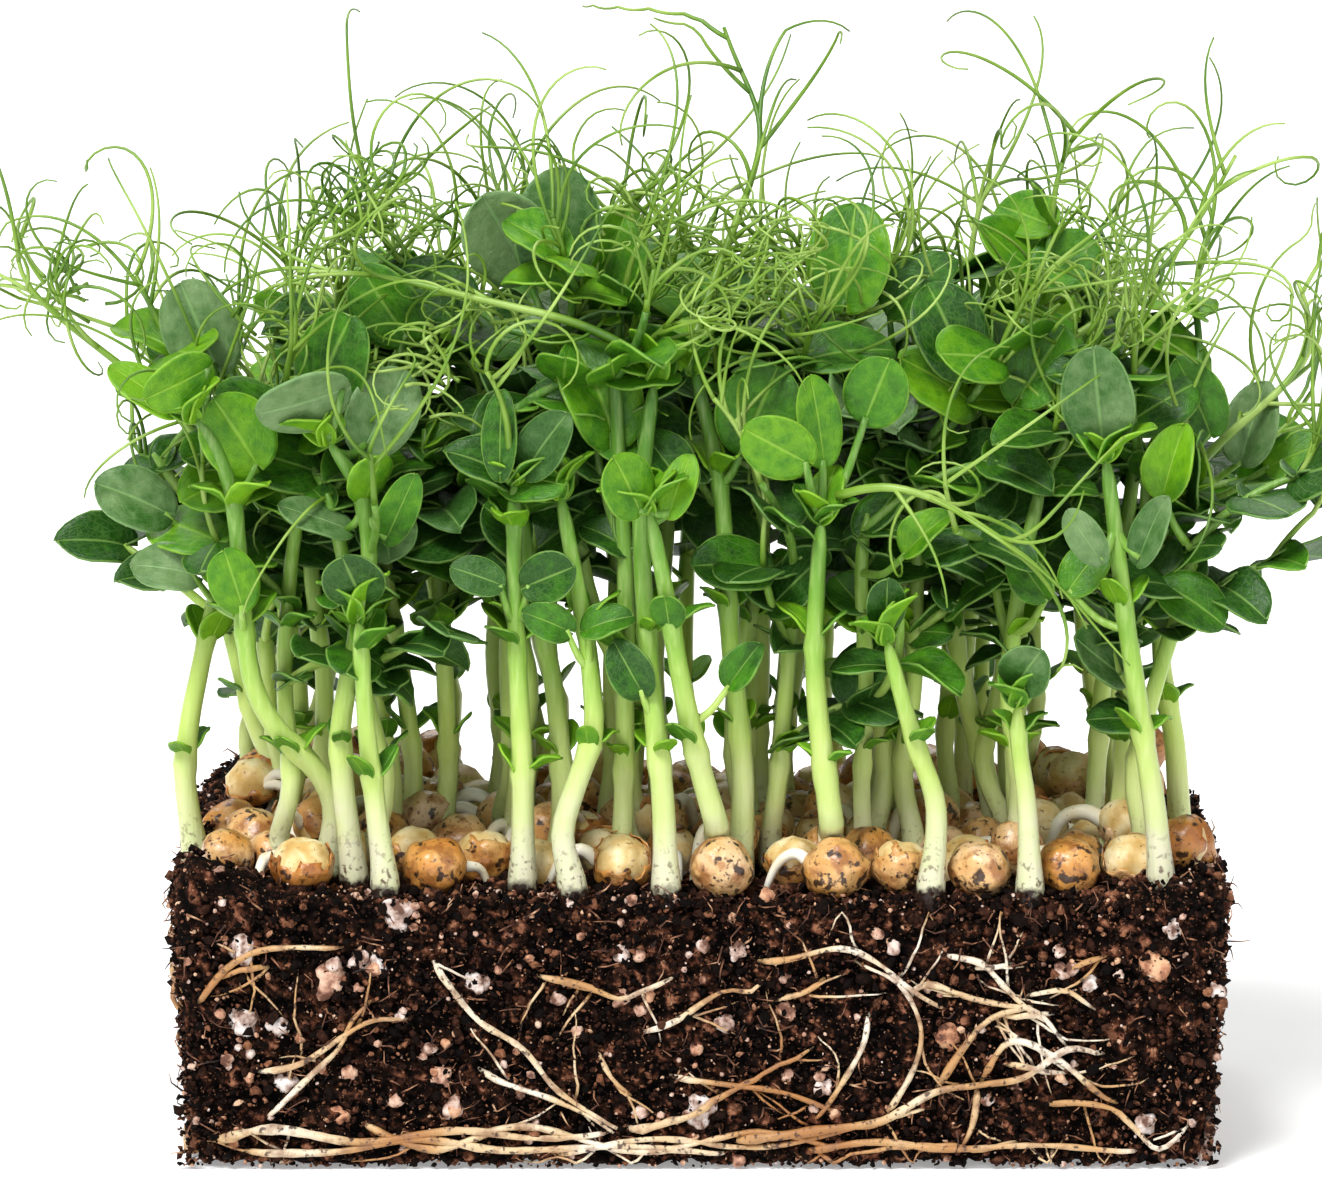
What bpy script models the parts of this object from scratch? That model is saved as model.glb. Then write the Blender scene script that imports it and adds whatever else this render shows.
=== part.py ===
"""A block of pea shoot microgreens, turned out of its tray.

One slab of growing medium holds sprouted peas, their rooted stems, leaves, tendrils and
the roots that run over its front face. Units are metres, +Z is up, +Y is to the back, and
the origin is the centre of the slab's flat underside.
"""

import math

import bmesh
import bpy
from mathutils import Vector

MM = 0.001

# The slab. Its sides lean in towards the bottom, as the tray's sides did.
BLOCK_WIDTH = 144 * MM
BLOCK_DEPTH = 90 * MM
BLOCK_HEIGHT = 38 * MM
TRAY_DRAFT = math.radians(4.0)
BLOCK_EDGE_RADIUS = 2.5 * MM

# Each node keeps this gap to what it touches.
GAP = 0.3 * MM

PEA_RADIUS = 4.6 * MM
PEA_SEGMENTS, PEA_RINGS = 12, 7
PEA_SHAPE = (1.0, 0.95, 0.93)
PEA_SINK = 1.4 * MM

STEM_BASE_RADIUS = 1.85 * MM
STEM_TIP_RADIUS = 1.2 * MM
STEM_ROOTED = 3.0 * MM
STEM_SPACING = 8.0 * MM

LEAF_THICKNESS = 0.45 * MM
LEAF_ROWS, LEAF_COLUMNS = 7, 5
LEAF_END_WIDTH = 0.2
LEAF_ROUNDNESS = 0.7
LEAF_CUP = 0.12

TENDRIL_BASE_RADIUS = 0.75 * MM
TENDRIL_TIP_RADIUS = 0.35 * MM
TENDRIL_SPACING = 5.0 * MM

ROOT_RADIUS = 0.6 * MM
ROOT_SPACING = 6.0 * MM

# Peas: x, y of the centre and a size factor.
PEAS = (
    (-65, -5, 1.00),
    (-54, -36, 1.00),
    (-36, -37, 1.00),
    (-29.5, -28, 0.95),
    (-10.5, -34, 0.98),
    (3, -39.5, 1.05),
    (13, -32.5, 0.95),
    (18.5, -39.7, 1.03),
    (27.5, -36.5, 0.95),
    (38.2, -39.5, 0.98),
    (50.2, -37, 1.00),
    (59, -31.5, 0.96),
    (67, -20, 1.00),
)

# Stems: x, y and z of the points that each one grows through, in mm. A rooted one starts
# with its x and y at the slab's surface; one that grows from a pea starts above it.
ROOTED_STEMS = (
    ((-69.3, -18), (-71, -19, 51), (-70, -19, 59), (-68, -20, 68), (-65, -21, 82), (-64, -22, 89)),
    (
        (-51, -28),
        (-49.5, -29, 48),
        (-52, -31, 53.5),
        (-57, -33, 58),
        (-60.5, -34, 64),
        (-62, -35, 76),
        (-63, -37, 92),
        (-66, -39, 100.5),
        (-69, -40, 103),
    ),
    (
        (-47, -34),
        (-48.5, -34, 51),
        (-49, -34, 59),
        (-46.5, -35, 72),
        (-44.5, -36, 84),
        (-46, -38, 94),
        (-51, -40, 100),
    ),
    ((-42.5, -41), (-44, -41, 51), (-45, -42, 60), (-46, -43, 77)),
    ((-24, -38), (-24, -38, 54), (-25, -38, 78), (-25, -39, 95)),
    ((-17, -41.5), (-19, -41.5, 46), (-17, -41, 52), (-14, -40, 60), (-15, -39, 71), (-19, -38, 93)),
    ((-4.5, -42), (-5, -41.5, 52), (-6.5, -40, 66), (-8, -38, 90), (-6, -36, 108)),
    ((5.5, -31), (6, -32, 52), (4, -32, 74), (3, -31, 92), (-1, -30, 109)),
    ((31.2, -42.3), (32, -42.5, 44), (32.2, -42.5, 51), (29, -43, 59), (26.5, -44, 68), (25, -44, 74)),
    ((44.8, -42.3), (44.3, -42.5, 51), (43, -43, 59), (43, -43.5, 65.5)),
    ((62.8, -38.5), (62, -39, 48), (60, -40, 60), (57.5, -41, 76), (55.5, -41, 92), (54.5, -42, 98.5)),
    ((67, -9), (66, -12, 54), (64, -14, 64), (63.5, -17, 80), (65.5, -20, 89)),
    ((42, -4), (39.5, -7, 51), (36.5, -9, 62), (35, -12, 76), (36, -14, 90), (37, -15, 101)),
)
PEA_STEMS = (
    ((2.5, -39.5, 46.7), (0, -40.5, 55), (-2, -42, 65), (-5, -45, 82), (-7, -46.5, 92)),
    ((18, -39.7, 46.8), (16.5, -39, 58), (15.5, -39, 71), (16.5, -40, 90)),
)

# Leaves: base, tip, width, and the way the upper face looks, all in mm.
LEAVES = (
    ((-71.0, -39.5, 104.0), (-79.5, -36.5, 109.5), 7.0, (0.1, -0.9, 0.5)),
    ((-69.5, -41.5, 104.0), (-70.5, -45.5, 111.5), 10.0, (0.2, -0.8, 0.5)),
    ((-52.5, -41.5, 100.0), (-55.0, -46.5, 110.0), 12.0, (0.1, -0.8, 0.5)),
    ((-46.0, -33.0, 99.0), (-39.0, -33.0, 107.5), 10.0, (0.0, -1.0, 0.3)),
    ((-42.7, -38.5, 86.0), (-38.0, -41.0, 95.0), 6.0, (-0.2, -1.0, 0.3)),
    ((-47.6, -37.0, 87.5), (-57.0, -38.0, 90.5), 5.5, (0.0, -0.9, 0.6)),
    ((-46.3, -44.6, 78.4), (-47.0, -49.5, 85.0), 8.0, (0.0, -0.8, 0.6)),
    ((-26.3, -40.2, 95.8), (-27.5, -42.5, 106.0), 5.0, (-0.6, -1.0, 0.1)),
    ((-23.4, -40.2, 95.6), (-18.5, -43.0, 103.5), 7.0, (0.1, -1.0, 0.3)),
    ((-8.0, -48.0, 92.0), (-11.5, -52.0, 98.0), 8.0, (0.1, -0.8, 0.6)),
    ((-4.0, -46.5, 90.5), (-1.5, -47.0, 98.5), 5.5, (0.0, -1.0, 0.2)),
    ((13.6, -43.4, 96.5), (6.6, -46.0, 102.5), 8.0, (-0.1, -1.0, 0.3)),
    ((16.8, -40.4, 97.0), (15.2, -40.4, 108.5), 7.5, (0.1, -1.0, 0.2)),
    ((23.5, -37.5, 102.5), (24.5, -40.5, 110.5), 8.5, (0.0, -0.9, 0.4)),
    ((54.3, -42.8, 99.5), (52.5, -44.5, 113.0), 9.5, (0.0, -1.0, 0.1)),
    ((53.6, -43.6, 84.0), (49.8, -46.0, 90.5), 5.5, (0.0, -0.9, 0.4)),
    ((59.2, -43.2, 84.0), (62.0, -45.0, 92.5), 5.0, (0.0, -0.9, 0.4)),
    ((65.5, -21.0, 90.5), (65.0, -25.0, 100.0), 8.0, (0.0, -1.0, 0.2)),
    ((43.2, -44.5, 66.5), (44.5, -49.5, 72.0), 7.5, (0.0, -0.8, 0.6)),
    ((25.2, -44.8, 75.0), (25.0, -48.0, 82.0), 5.0, (0.2, -1.0, 0.3)),
    ((38.8, -17.2, 101.8), (46.0, -20.5, 109.0), 9.0, (0.0, -1.0, 0.3)),
)

# Tendrils: the points that each one curls through, in mm, from its stem's tip.
TENDRILS = (
    ((-1.2, -29.8, 110.6), (2, -25, 120), (7, -17, 132), (9, -11, 140), (5, -7, 148), (3, -5, 154)),
    (
        (-64.4, -22.4, 90.8),
        (-69, -24, 99),
        (-79, -22, 108),
        (-89, -20, 115),
        (-94, -20, 122),
        (-91, -18, 129),
    ),
    ((66.3, -18.0, 90.6), (73, -14, 98), (81, -10, 103), (85, -9, 111), (82, -9, 119)),
    ((37.6, -13.8, 102.7), (48, -14, 108.5), (62, -12, 118), (70, -10, 128), (75, -10, 138)),
    ((17.4, -40.8, 91.7), (25, -45, 94.5), (36, -47, 90.5), (44, -47, 84)),
    ((-6.6, -35.6, 109.8), (-15, -34, 114.5), (-28, -32, 117.5), (-45, -28, 121), (-56, -26, 121)),
)

# Roots on the front face: x and z of the points that each one follows, in mm.
FRONT_ROOTS = (
    ((-66, 4.5), (-56, 6.5), (-44, 3.6), (-30, 4.6), (-20, 3.4)),
    ((-16, 5.0), (-4, 4.2), (14, 4.6), (30, 8.5), (42, 12.5), (52, 15.5)),
    ((16, 26.5), (24, 22), (29, 15.5), (30.5, 12.5)),
    ((34, 2.4), (44, 4.6), (58, 4.8), (66, 7.5)),
)


def vector(point):
    """A point given in mm, in metres."""
    return Vector(point) * MM


def clear_scene():
    for obj in list(bpy.data.objects):
        bpy.data.objects.remove(obj)


def new_collection(name):
    collection = bpy.data.collections.new(name)
    bpy.context.scene.collection.children.link(collection)
    return collection


def material(name, colour, roughness):
    """A Principled material in one of the plant's or the slab's own colours."""
    made = bpy.data.materials.new(name)
    made.use_nodes = True
    shader = made.node_tree.nodes["Principled BSDF"]
    shader.inputs["Base Color"].default_value = (*colour, 1.0)
    shader.inputs["Roughness"].default_value = roughness
    shader.inputs["Metallic"].default_value = 0.0
    return made


def add(name, data, collection, finish):
    obj = bpy.data.objects.new(name, data)
    data.materials.append(finish)
    collection.objects.link(obj)
    return obj


def catmull_rom(points, spacing):
    """Points about spacing apart on one smooth curve through the given points."""
    ends = [2 * points[0] - points[1], *points, 2 * points[-1] - points[-2]]
    line = [points[0]]
    for before, start, stop, after in zip(ends, ends[1:], ends[2:], ends[3:]):
        steps = max(1, round((stop - start).length / spacing))
        for step in range(1, steps + 1):
            t = step / steps
            line.append(
                0.5
                * (
                    2 * start
                    + (stop - before) * t
                    + (2 * before - 5 * start + 4 * stop - after) * t**2
                    + (3 * start - before - 3 * stop + after) * t**3
                )
            )
    return line


def tapered_tube(name, route, base_radius, tip_radius, collection, finish, bevel_resolution=2):
    """A round stalk along route that thins from base_radius to tip_radius."""
    curve = bpy.data.curves.new(name, "CURVE")
    curve.dimensions = "3D"
    curve.bevel_depth = base_radius
    curve.bevel_resolution = bevel_resolution
    curve.use_fill_caps = True
    spline = curve.splines.new("POLY")
    spline.points.add(len(route) - 1)
    for index, point in enumerate(route):
        share = index / (len(route) - 1)
        spline.points[index].co = (*point, 1.0)
        spline.points[index].radius = 1 + (tip_radius / base_radius - 1) * share
    return add(name, curve, collection, finish)


def tapered_block(collection, finish):
    """The slab: a box whose underside is smaller than its top by the tray's draft."""
    bpy.ops.mesh.primitive_cube_add(size=1, location=(0, 0, BLOCK_HEIGHT / 2))
    block = bpy.context.object
    block.name = "soil_block"
    block.scale = (BLOCK_WIDTH, BLOCK_DEPTH, BLOCK_HEIGHT)
    bpy.ops.object.transform_apply(location=True, rotation=False, scale=True)
    lean = BLOCK_HEIGHT * math.tan(TRAY_DRAFT)
    for vertex in block.data.vertices:
        if vertex.co.z < BLOCK_HEIGHT / 2:
            vertex.co.x -= math.copysign(lean, vertex.co.x)
            vertex.co.y -= math.copysign(lean, vertex.co.y)
    edges = block.modifiers.new("rounded_edges", "BEVEL")
    edges.width = BLOCK_EDGE_RADIUS
    edges.segments = 3
    block.data.materials.append(finish)
    for holder in list(block.users_collection):
        holder.objects.unlink(block)
    collection.objects.link(block)
    return block


def pea_shape(name, x, y, size, grow, collection, finish):
    """One sprouted pea, a slightly flattened ball pressed into the slab's surface."""
    mesh = bpy.data.meshes.new(name)
    shape = bmesh.new()
    bmesh.ops.create_uvsphere(
        shape, u_segments=PEA_SEGMENTS, v_segments=PEA_RINGS, radius=PEA_RADIUS * size + grow
    )
    bmesh.ops.scale(shape, vec=PEA_SHAPE, verts=shape.verts)
    shape.to_mesh(mesh)
    shape.free()
    mesh.shade_smooth()
    pea = add(name, mesh, collection, finish)
    pea.location = (x * MM, y * MM, BLOCK_HEIGHT + PEA_RADIUS * size * PEA_SHAPE[2] - PEA_SINK)
    return pea


def socket_cutter(name, x, y, collection, finish):
    """A round hole in the slab's surface for one rooted stem."""
    mesh = bpy.data.meshes.new(name)
    shape = bmesh.new()
    bmesh.ops.create_cone(
        shape,
        cap_ends=True,
        segments=10,
        radius1=STEM_BASE_RADIUS + 2 * GAP,
        radius2=STEM_BASE_RADIUS + 2 * GAP,
        depth=2 * (STEM_ROOTED + GAP),
    )
    shape.to_mesh(mesh)
    shape.free()
    cutter = add(name, mesh, collection, finish)
    cutter.location = (x * MM, y * MM, BLOCK_HEIGHT)
    return cutter


def leaf_blade(name, base, tip, width, facing, collection, finish):
    """One leaf: an oval sheet with a raised edge and bent along its length, then thickened."""
    base, tip, facing = vector(base), vector(tip), Vector(facing)
    along = tip - base
    across = along.cross(facing).normalized() * width * MM / 2
    up = across.cross(along).normalized() * along.length * LEAF_CUP
    mesh = bpy.data.meshes.new(name)
    shape = bmesh.new()
    bmesh.ops.create_grid(shape, x_segments=LEAF_COLUMNS - 1, y_segments=LEAF_ROWS - 1, size=1.0)
    for vertex in shape.verts:
        share = (vertex.co.y + 1) / 2
        side = vertex.co.x
        outline = LEAF_END_WIDTH + (1 - LEAF_END_WIDTH) * math.sin(math.pi * share) ** LEAF_ROUNDNESS
        lift = side * side - 4 * (share - 0.5) ** 2
        vertex.co = base + along * share + across * side * outline + up * lift
    bmesh.ops.recalc_face_normals(shape, faces=shape.faces)
    shape.to_mesh(mesh)
    shape.free()
    mesh.shade_smooth()
    leaf = add(name, mesh, collection, finish)
    body = leaf.modifiers.new("thickness", "SOLIDIFY")
    body.thickness = LEAF_THICKNESS
    body.offset = 0.0
    return leaf


def stem_route(points):
    """A stem's centreline. One that starts with only x and y is rooted in the slab."""
    start = points[0]
    if len(start) == 3:
        return catmull_rom([vector(point) for point in points], STEM_SPACING)
    surface = BLOCK_HEIGHT / MM
    foot = [vector((*start, surface - STEM_ROOTED / MM)), vector((*start, surface + 1))]
    return foot[:1] + catmull_rom([foot[1], *map(vector, points[1:])], STEM_SPACING)


def face_route(points):
    """A root's centreline on the slab's leaning front face, given its x and z."""
    stand_off = ROOT_RADIUS + GAP
    route = []
    for x, z in points:
        lean = (BLOCK_HEIGHT - z * MM) * math.tan(TRAY_DRAFT)
        route.append(Vector((x * MM, -BLOCK_DEPTH / 2 + lean - stand_off, z * MM)))
    return catmull_rom(route, ROOT_SPACING)


def cut(block, cutters):
    """Takes every pocket and socket out of the slab at once."""
    for cutter in cutters.objects:
        cutter.hide_render = True
        cutter.display_type = "WIRE"
    pockets = block.modifiers.new("pockets", "BOOLEAN")
    pockets.operation = "DIFFERENCE"
    pockets.operand_type = "COLLECTION"
    pockets.collection = cutters
    pockets.solver = "EXACT"


def build():
    clear_scene()
    parts = new_collection("pea_shoot_block")
    cutters = new_collection("cutters")

    soil = material("growing_medium", (0.045, 0.026, 0.017), 0.95)
    pea_skin = material("pea_seed", (0.62, 0.38, 0.15), 0.5)
    stem_green = material("stem", (0.45, 0.62, 0.20), 0.4)
    leaf_green = material("leaf", (0.09, 0.26, 0.04), 0.5)
    tendril_green = material("tendril", (0.22, 0.42, 0.08), 0.45)
    root_tan = material("root", (0.66, 0.48, 0.28), 0.6)

    block = tapered_block(parts, soil)
    for number, (x, y, size) in enumerate(PEAS, 1):
        pea_shape(f"pea_{number:02d}", x, y, size, 0.0, parts, pea_skin)
        pea_shape(f"pea_pocket_{number:02d}", x, y, size, GAP, cutters, soil)
    for number, points in enumerate((*ROOTED_STEMS, *PEA_STEMS), 1):
        route = stem_route(points)
        name = f"stem_{number:02d}"
        tapered_tube(name, route, STEM_BASE_RADIUS, STEM_TIP_RADIUS, parts, stem_green)
    for number, points in enumerate(ROOTED_STEMS, 1):
        socket_cutter(f"stem_socket_{number:02d}", *points[0], cutters, soil)
    for number, leaf in enumerate(LEAVES, 1):
        leaf_blade(f"leaf_{number:02d}", *leaf, parts, leaf_green)
    for number, points in enumerate(TENDRILS, 1):
        route = catmull_rom([vector(point) for point in points], TENDRIL_SPACING)
        tapered_tube(
            f"tendril_{number:02d}",
            route,
            TENDRIL_BASE_RADIUS,
            TENDRIL_TIP_RADIUS,
            parts,
            tendril_green,
            bevel_resolution=1,
        )
    for number, points in enumerate(FRONT_ROOTS, 1):
        route = face_route(points)
        tapered_tube(
            f"root_{number:02d}", route, ROOT_RADIUS, ROOT_RADIUS, parts, root_tan, bevel_resolution=1
        )
    cut(block, cutters)


build()
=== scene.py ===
# %% [markdown]
# # A block of pea shoot microgreens
# This notebook finishes a slab of growing medium that has been turned out of its tray, with
# the crop of pea shoots that grew on it. The slab, the front row of peas, stems, leaves,
# tendrils and roots come as plain solids. Each one is replaced by a detailed piece in the
# same place, and the rest of the crop is grown around them.

# %% Load the plain solids
import math
import random

import bmesh
import bpy
from mathutils import Matrix, Quaternion, Vector, noise


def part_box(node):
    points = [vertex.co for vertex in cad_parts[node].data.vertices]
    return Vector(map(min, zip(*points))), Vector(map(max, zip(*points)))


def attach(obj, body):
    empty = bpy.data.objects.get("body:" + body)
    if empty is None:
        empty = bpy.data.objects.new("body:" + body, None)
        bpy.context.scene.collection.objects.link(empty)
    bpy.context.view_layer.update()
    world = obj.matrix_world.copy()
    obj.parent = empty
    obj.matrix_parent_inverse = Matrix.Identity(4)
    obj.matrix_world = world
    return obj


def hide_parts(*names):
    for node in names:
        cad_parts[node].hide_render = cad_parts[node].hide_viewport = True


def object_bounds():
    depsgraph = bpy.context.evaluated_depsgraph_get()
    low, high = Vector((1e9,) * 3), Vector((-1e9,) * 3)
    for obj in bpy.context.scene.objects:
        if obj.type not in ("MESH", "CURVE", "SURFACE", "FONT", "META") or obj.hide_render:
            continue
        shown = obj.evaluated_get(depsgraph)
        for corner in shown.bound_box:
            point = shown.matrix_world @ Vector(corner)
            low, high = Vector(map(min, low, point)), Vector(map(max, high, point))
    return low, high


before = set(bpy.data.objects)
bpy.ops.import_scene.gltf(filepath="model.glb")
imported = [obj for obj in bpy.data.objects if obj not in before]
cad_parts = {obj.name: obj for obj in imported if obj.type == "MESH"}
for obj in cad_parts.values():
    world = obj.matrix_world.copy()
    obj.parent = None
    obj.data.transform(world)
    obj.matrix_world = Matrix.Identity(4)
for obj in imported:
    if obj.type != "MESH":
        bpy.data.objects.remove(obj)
cad_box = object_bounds()
MM = 0.001
print("solids' box in mm:", [[round(c / MM, 1) for c in corner] for corner in cad_box])

# %% [markdown]
# ## Camera
# A long lens from a little above keeps the slab's edges nearly parallel, as a product
# picture does. The lens follows from the distance and from how wide the picture is at the
# slab's front face.

# %% Place the camera
VIEW_DISTANCE = 1250 * MM
VIEW_ELEVATION = math.radians(8)
VIEW_TARGET = Vector((-5.2, -45, 79.3)) * MM
PICTURE_WIDTH = 177.9 * MM
SENSOR_WIDTH = 36

scene = bpy.context.scene
camera_data = bpy.data.cameras.new("camera")
camera_data.sensor_width = SENSOR_WIDTH
camera_data.lens = SENSOR_WIDTH * VIEW_DISTANCE / PICTURE_WIDTH
camera = bpy.data.objects.new("camera", camera_data)
towards_camera = Vector((0, -math.cos(VIEW_ELEVATION), math.sin(VIEW_ELEVATION)))
camera.location = VIEW_TARGET + VIEW_DISTANCE * towards_camera
camera.rotation_euler = (math.pi / 2 - VIEW_ELEVATION, 0, 0)
scene.collection.objects.link(camera)
scene.camera = camera
print("lens in mm:", round(camera_data.lens, 1))

# %% [markdown]
# ## Light and floor
# Greens look fresh in bright, soft light. A white surround lights the plant from all sides,
# and broad suns, which stay equally strong over the whole floor, give the leaves their
# shape. The last sun is low and in front, and reaches in between the stems. The camera sees
# the surround as pure white.

# %% Set up the studio
SURROUND_STRENGTH = 0.24
SUNS = (
    # strength, softness in degrees, and the way the light travels
    (3.5, 24, (0.4, 0.7, -1.0)),
    (0.6, 60, (-0.8, 0.6, -0.4)),
    (1.2, 40, (0.1, -0.8, -0.9)),
    (0.5, 40, (0.15, 1.0, -0.12)),
)
FLOOR_SIZE = 3.0

scene.view_settings.view_transform = "Standard"
world = bpy.data.worlds.new("studio")
world.use_nodes = True
scene.world = world
surround = world.node_tree.nodes["Background"]
surround.inputs["Color"].default_value = (1.0, 1.0, 1.0, 1.0)
surround.inputs["Strength"].default_value = SURROUND_STRENGTH
backdrop = world.node_tree.nodes.new("ShaderNodeBackground")
backdrop.inputs["Color"].default_value = (1.0, 1.0, 1.0, 1.0)
rays = world.node_tree.nodes.new("ShaderNodeLightPath")
choose = world.node_tree.nodes.new("ShaderNodeMixShader")
world.node_tree.links.new(rays.outputs["Is Camera Ray"], choose.inputs[0])
world.node_tree.links.new(surround.outputs[0], choose.inputs[1])
world.node_tree.links.new(backdrop.outputs[0], choose.inputs[2])
world.node_tree.links.new(choose.outputs[0], world.node_tree.nodes["World Output"].inputs[0])

for number, (strength, softness, travel) in enumerate(SUNS, 1):
    sun_data = bpy.data.lights.new(f"sun_{number}", "SUN")
    sun_data.energy = strength
    sun_data.angle = math.radians(softness)
    sun = bpy.data.objects.new(f"sun_{number}", sun_data)
    sun.rotation_euler = Vector(travel).to_track_quat("-Z", "Y").to_euler()
    scene.collection.objects.link(sun)

floor_shape = bmesh.new()
bmesh.ops.create_grid(floor_shape, x_segments=1, y_segments=1, size=FLOOR_SIZE)
floor_mesh = bpy.data.meshes.new("floor")
floor_shape.to_mesh(floor_mesh)
floor_shape.free()
floor_mesh.materials.append(bpy.data.materials.new("floor_white"))
floor_mesh.materials[0].use_nodes = True
floor_shader = floor_mesh.materials[0].node_tree.nodes["Principled BSDF"]
floor_shader.inputs["Base Color"].default_value = (0.9, 0.9, 0.9, 1.0)
floor_shader.inputs["Roughness"].default_value = 0.9
floor_shader.inputs["Emission Color"].default_value = (1.0, 1.0, 1.0, 1.0)
floor_shader.inputs["Emission Strength"].default_value = 0.3
floor = bpy.data.objects.new("floor", floor_mesh)
scene.collection.objects.link(floor)
print("suns:", len(SUNS))

# %% [markdown]
# ## Wiring materials
# Every finish here is a network of nodes. Small helpers keep each network readable. They
# make and connect a node, mix two colours, read a colour from a ramp, make and scale noise,
# and turn a colour as seen on a screen into the linear numbers that a shader expects.


# %% Helpers for materials
def seen(red, green, blue):
    """A colour given as it looks on a screen, 0 to 255, as the shader's linear colour."""
    linear = [((c / 255 + 0.055) / 1.055) ** 2.4 for c in (red, green, blue)]
    return (*linear, 1.0)


def wire(tree, kind, inputs, **settings):
    """A new node whose inputs are either numbers or other nodes' outputs."""
    made = tree.nodes.new("ShaderNode" + kind)
    for name, value in settings.items():
        setattr(made, name, value)
    for name, value in inputs.items():
        if isinstance(value, bpy.types.NodeSocket):
            tree.links.new(value, made.inputs[name])
        else:
            made.inputs[name].default_value = value
    return made


def calc(tree, operation, *values, clamp=False):
    inputs = dict(enumerate(values))
    return wire(tree, "Math", inputs, operation=operation, use_clamp=clamp).outputs[0]


def mixed(tree, factor, first, second):
    made = wire(tree, "Mix", {0: factor, 6: first, 7: second}, data_type="RGBA")
    return made.outputs[2]


def faded(tree, value, start, stop, low=0.0, high=1.0):
    """low where value is at start or before, high where it is at stop or past it."""
    inputs = {"Value": value, "From Min": start, "From Max": stop, "To Min": low, "To Max": high}
    return wire(tree, "MapRange", inputs).outputs[0]


def ramp(tree, factor, stops):
    made = wire(tree, "ValToRGB", {"Fac": factor})
    elements = made.color_ramp.elements
    while len(elements) < len(stops):
        elements.new(1.0)
    for element, (position, colour) in zip(elements, stops):
        element.position = position
        element.color = colour
    return made.outputs["Color"]


def grain(tree, vector, size, detail=3.0):
    """Soft random values with blotches about size metres wide."""
    inputs = {"Vector": vector, "Scale": 1 / size, "Detail": detail}
    return wire(tree, "TexNoise", inputs).outputs["Fac"]


def centred(tree, value, amount):
    """Noise from 0 to 1, made to swing about zero and to be amount wide."""
    return calc(tree, "MULTIPLY", calc(tree, "SUBTRACT", value, 0.5), amount)


def stored(tree, name):
    """The value that each point of a piece's mesh carries under a name."""
    return wire(tree, "Attribute", {}, attribute_name=name).outputs["Fac"]


def split(tree, vector):
    """The X, Y and Z of a vector, as three outputs."""
    return wire(tree, "SeparateXYZ", {"Vector": vector}).outputs


def new_finish(name, roughness, **sockets):
    """A material, its node tree, its shader and the place that patterns are read from."""
    material = bpy.data.materials.new(name)
    material.use_nodes = True
    tree = material.node_tree
    shader = tree.nodes["Principled BSDF"]
    shader.inputs["Roughness"].default_value = roughness
    for socket, value in sockets.items():
        shader.inputs[socket.replace("_", " ")].default_value = value
    place = tree.nodes.new("ShaderNodeTexCoord").outputs["Object"]
    return material, tree, shader, place


def finish_surface(tree, shader, colour, height, depth):
    """Sends the colour to the shader, and a bump whose relief is depth metres."""
    tree.links.new(colour, shader.inputs["Base Color"])
    bump = wire(tree, "Bump", {"Height": height, "Strength": 1.0, "Distance": depth})
    tree.links.new(bump.outputs["Normal"], shader.inputs["Normal"])


# %% [markdown]
# ## Soil, crumbs and perlite
# Potting medium is nearly black when moist, with reddish-brown fibres where it has dried.
# The colour comes from noise at two sizes, and each loose crumb has its own shade, stored on
# its mesh as an attribute. The slab gets painted light on its raised lumps and painted shade
# in the hollows between them. Perlite is a puffed white mineral, stained by what surrounds
# it, and a grain's own shade takes it from white to tan. Its pores are dark spots of painted
# shade.


# %% Soil materials
def soil_finish():
    material, tree, shader, place = new_finish("soil", 0.93, Specular_IOR_Level=0.08)
    blotches = grain(tree, place, 7 * MM)
    crumbs = grain(tree, place, 1.1 * MM, 5.0)
    specks = grain(tree, place, 0.5 * MM, 2.0)
    relief = stored(tree, "relief")
    value = calc(tree, "MULTIPLY_ADD", blotches, 0.3, calc(tree, "MULTIPLY", crumbs, 0.7))
    # Painted light and shade: the slab's raised lumps are lighter and the hollows between them darker.
    value = calc(tree, "MULTIPLY_ADD", relief, 0.3, value)
    stops = (
        (0.34, seen(7, 3, 2)),
        (0.48, seen(18, 9, 6)),
        (0.58, seen(44, 25, 17)),
        (0.68, seen(102, 61, 44)),
        (0.80, seen(156, 106, 80)),
    )
    colour = ramp(tree, value, stops)
    colour = mixed(tree, faded(tree, specks, 0.66, 0.72), colour, seen(178, 132, 100))
    finish_surface(tree, shader, colour, crumbs, 1.6 * MM)
    return material


def crumb_finish():
    material, tree, shader, place = new_finish("soil_crumb", 0.9, Specular_IOR_Level=0.1)
    own = stored(tree, "shade")
    rough = grain(tree, place, 0.6 * MM, 4.0)
    value = calc(tree, "ADD", own, centred(tree, rough, 0.6))
    stops = (
        (0.0, seen(8, 4, 3)),
        (0.3, seen(22, 12, 8)),
        (0.55, seen(62, 36, 26)),
        (0.8, seen(146, 97, 70)),
        (1.0, seen(222, 182, 150)),
    )
    finish_surface(tree, shader, ramp(tree, value, stops), rough, 0.6 * MM)
    return material


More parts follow.
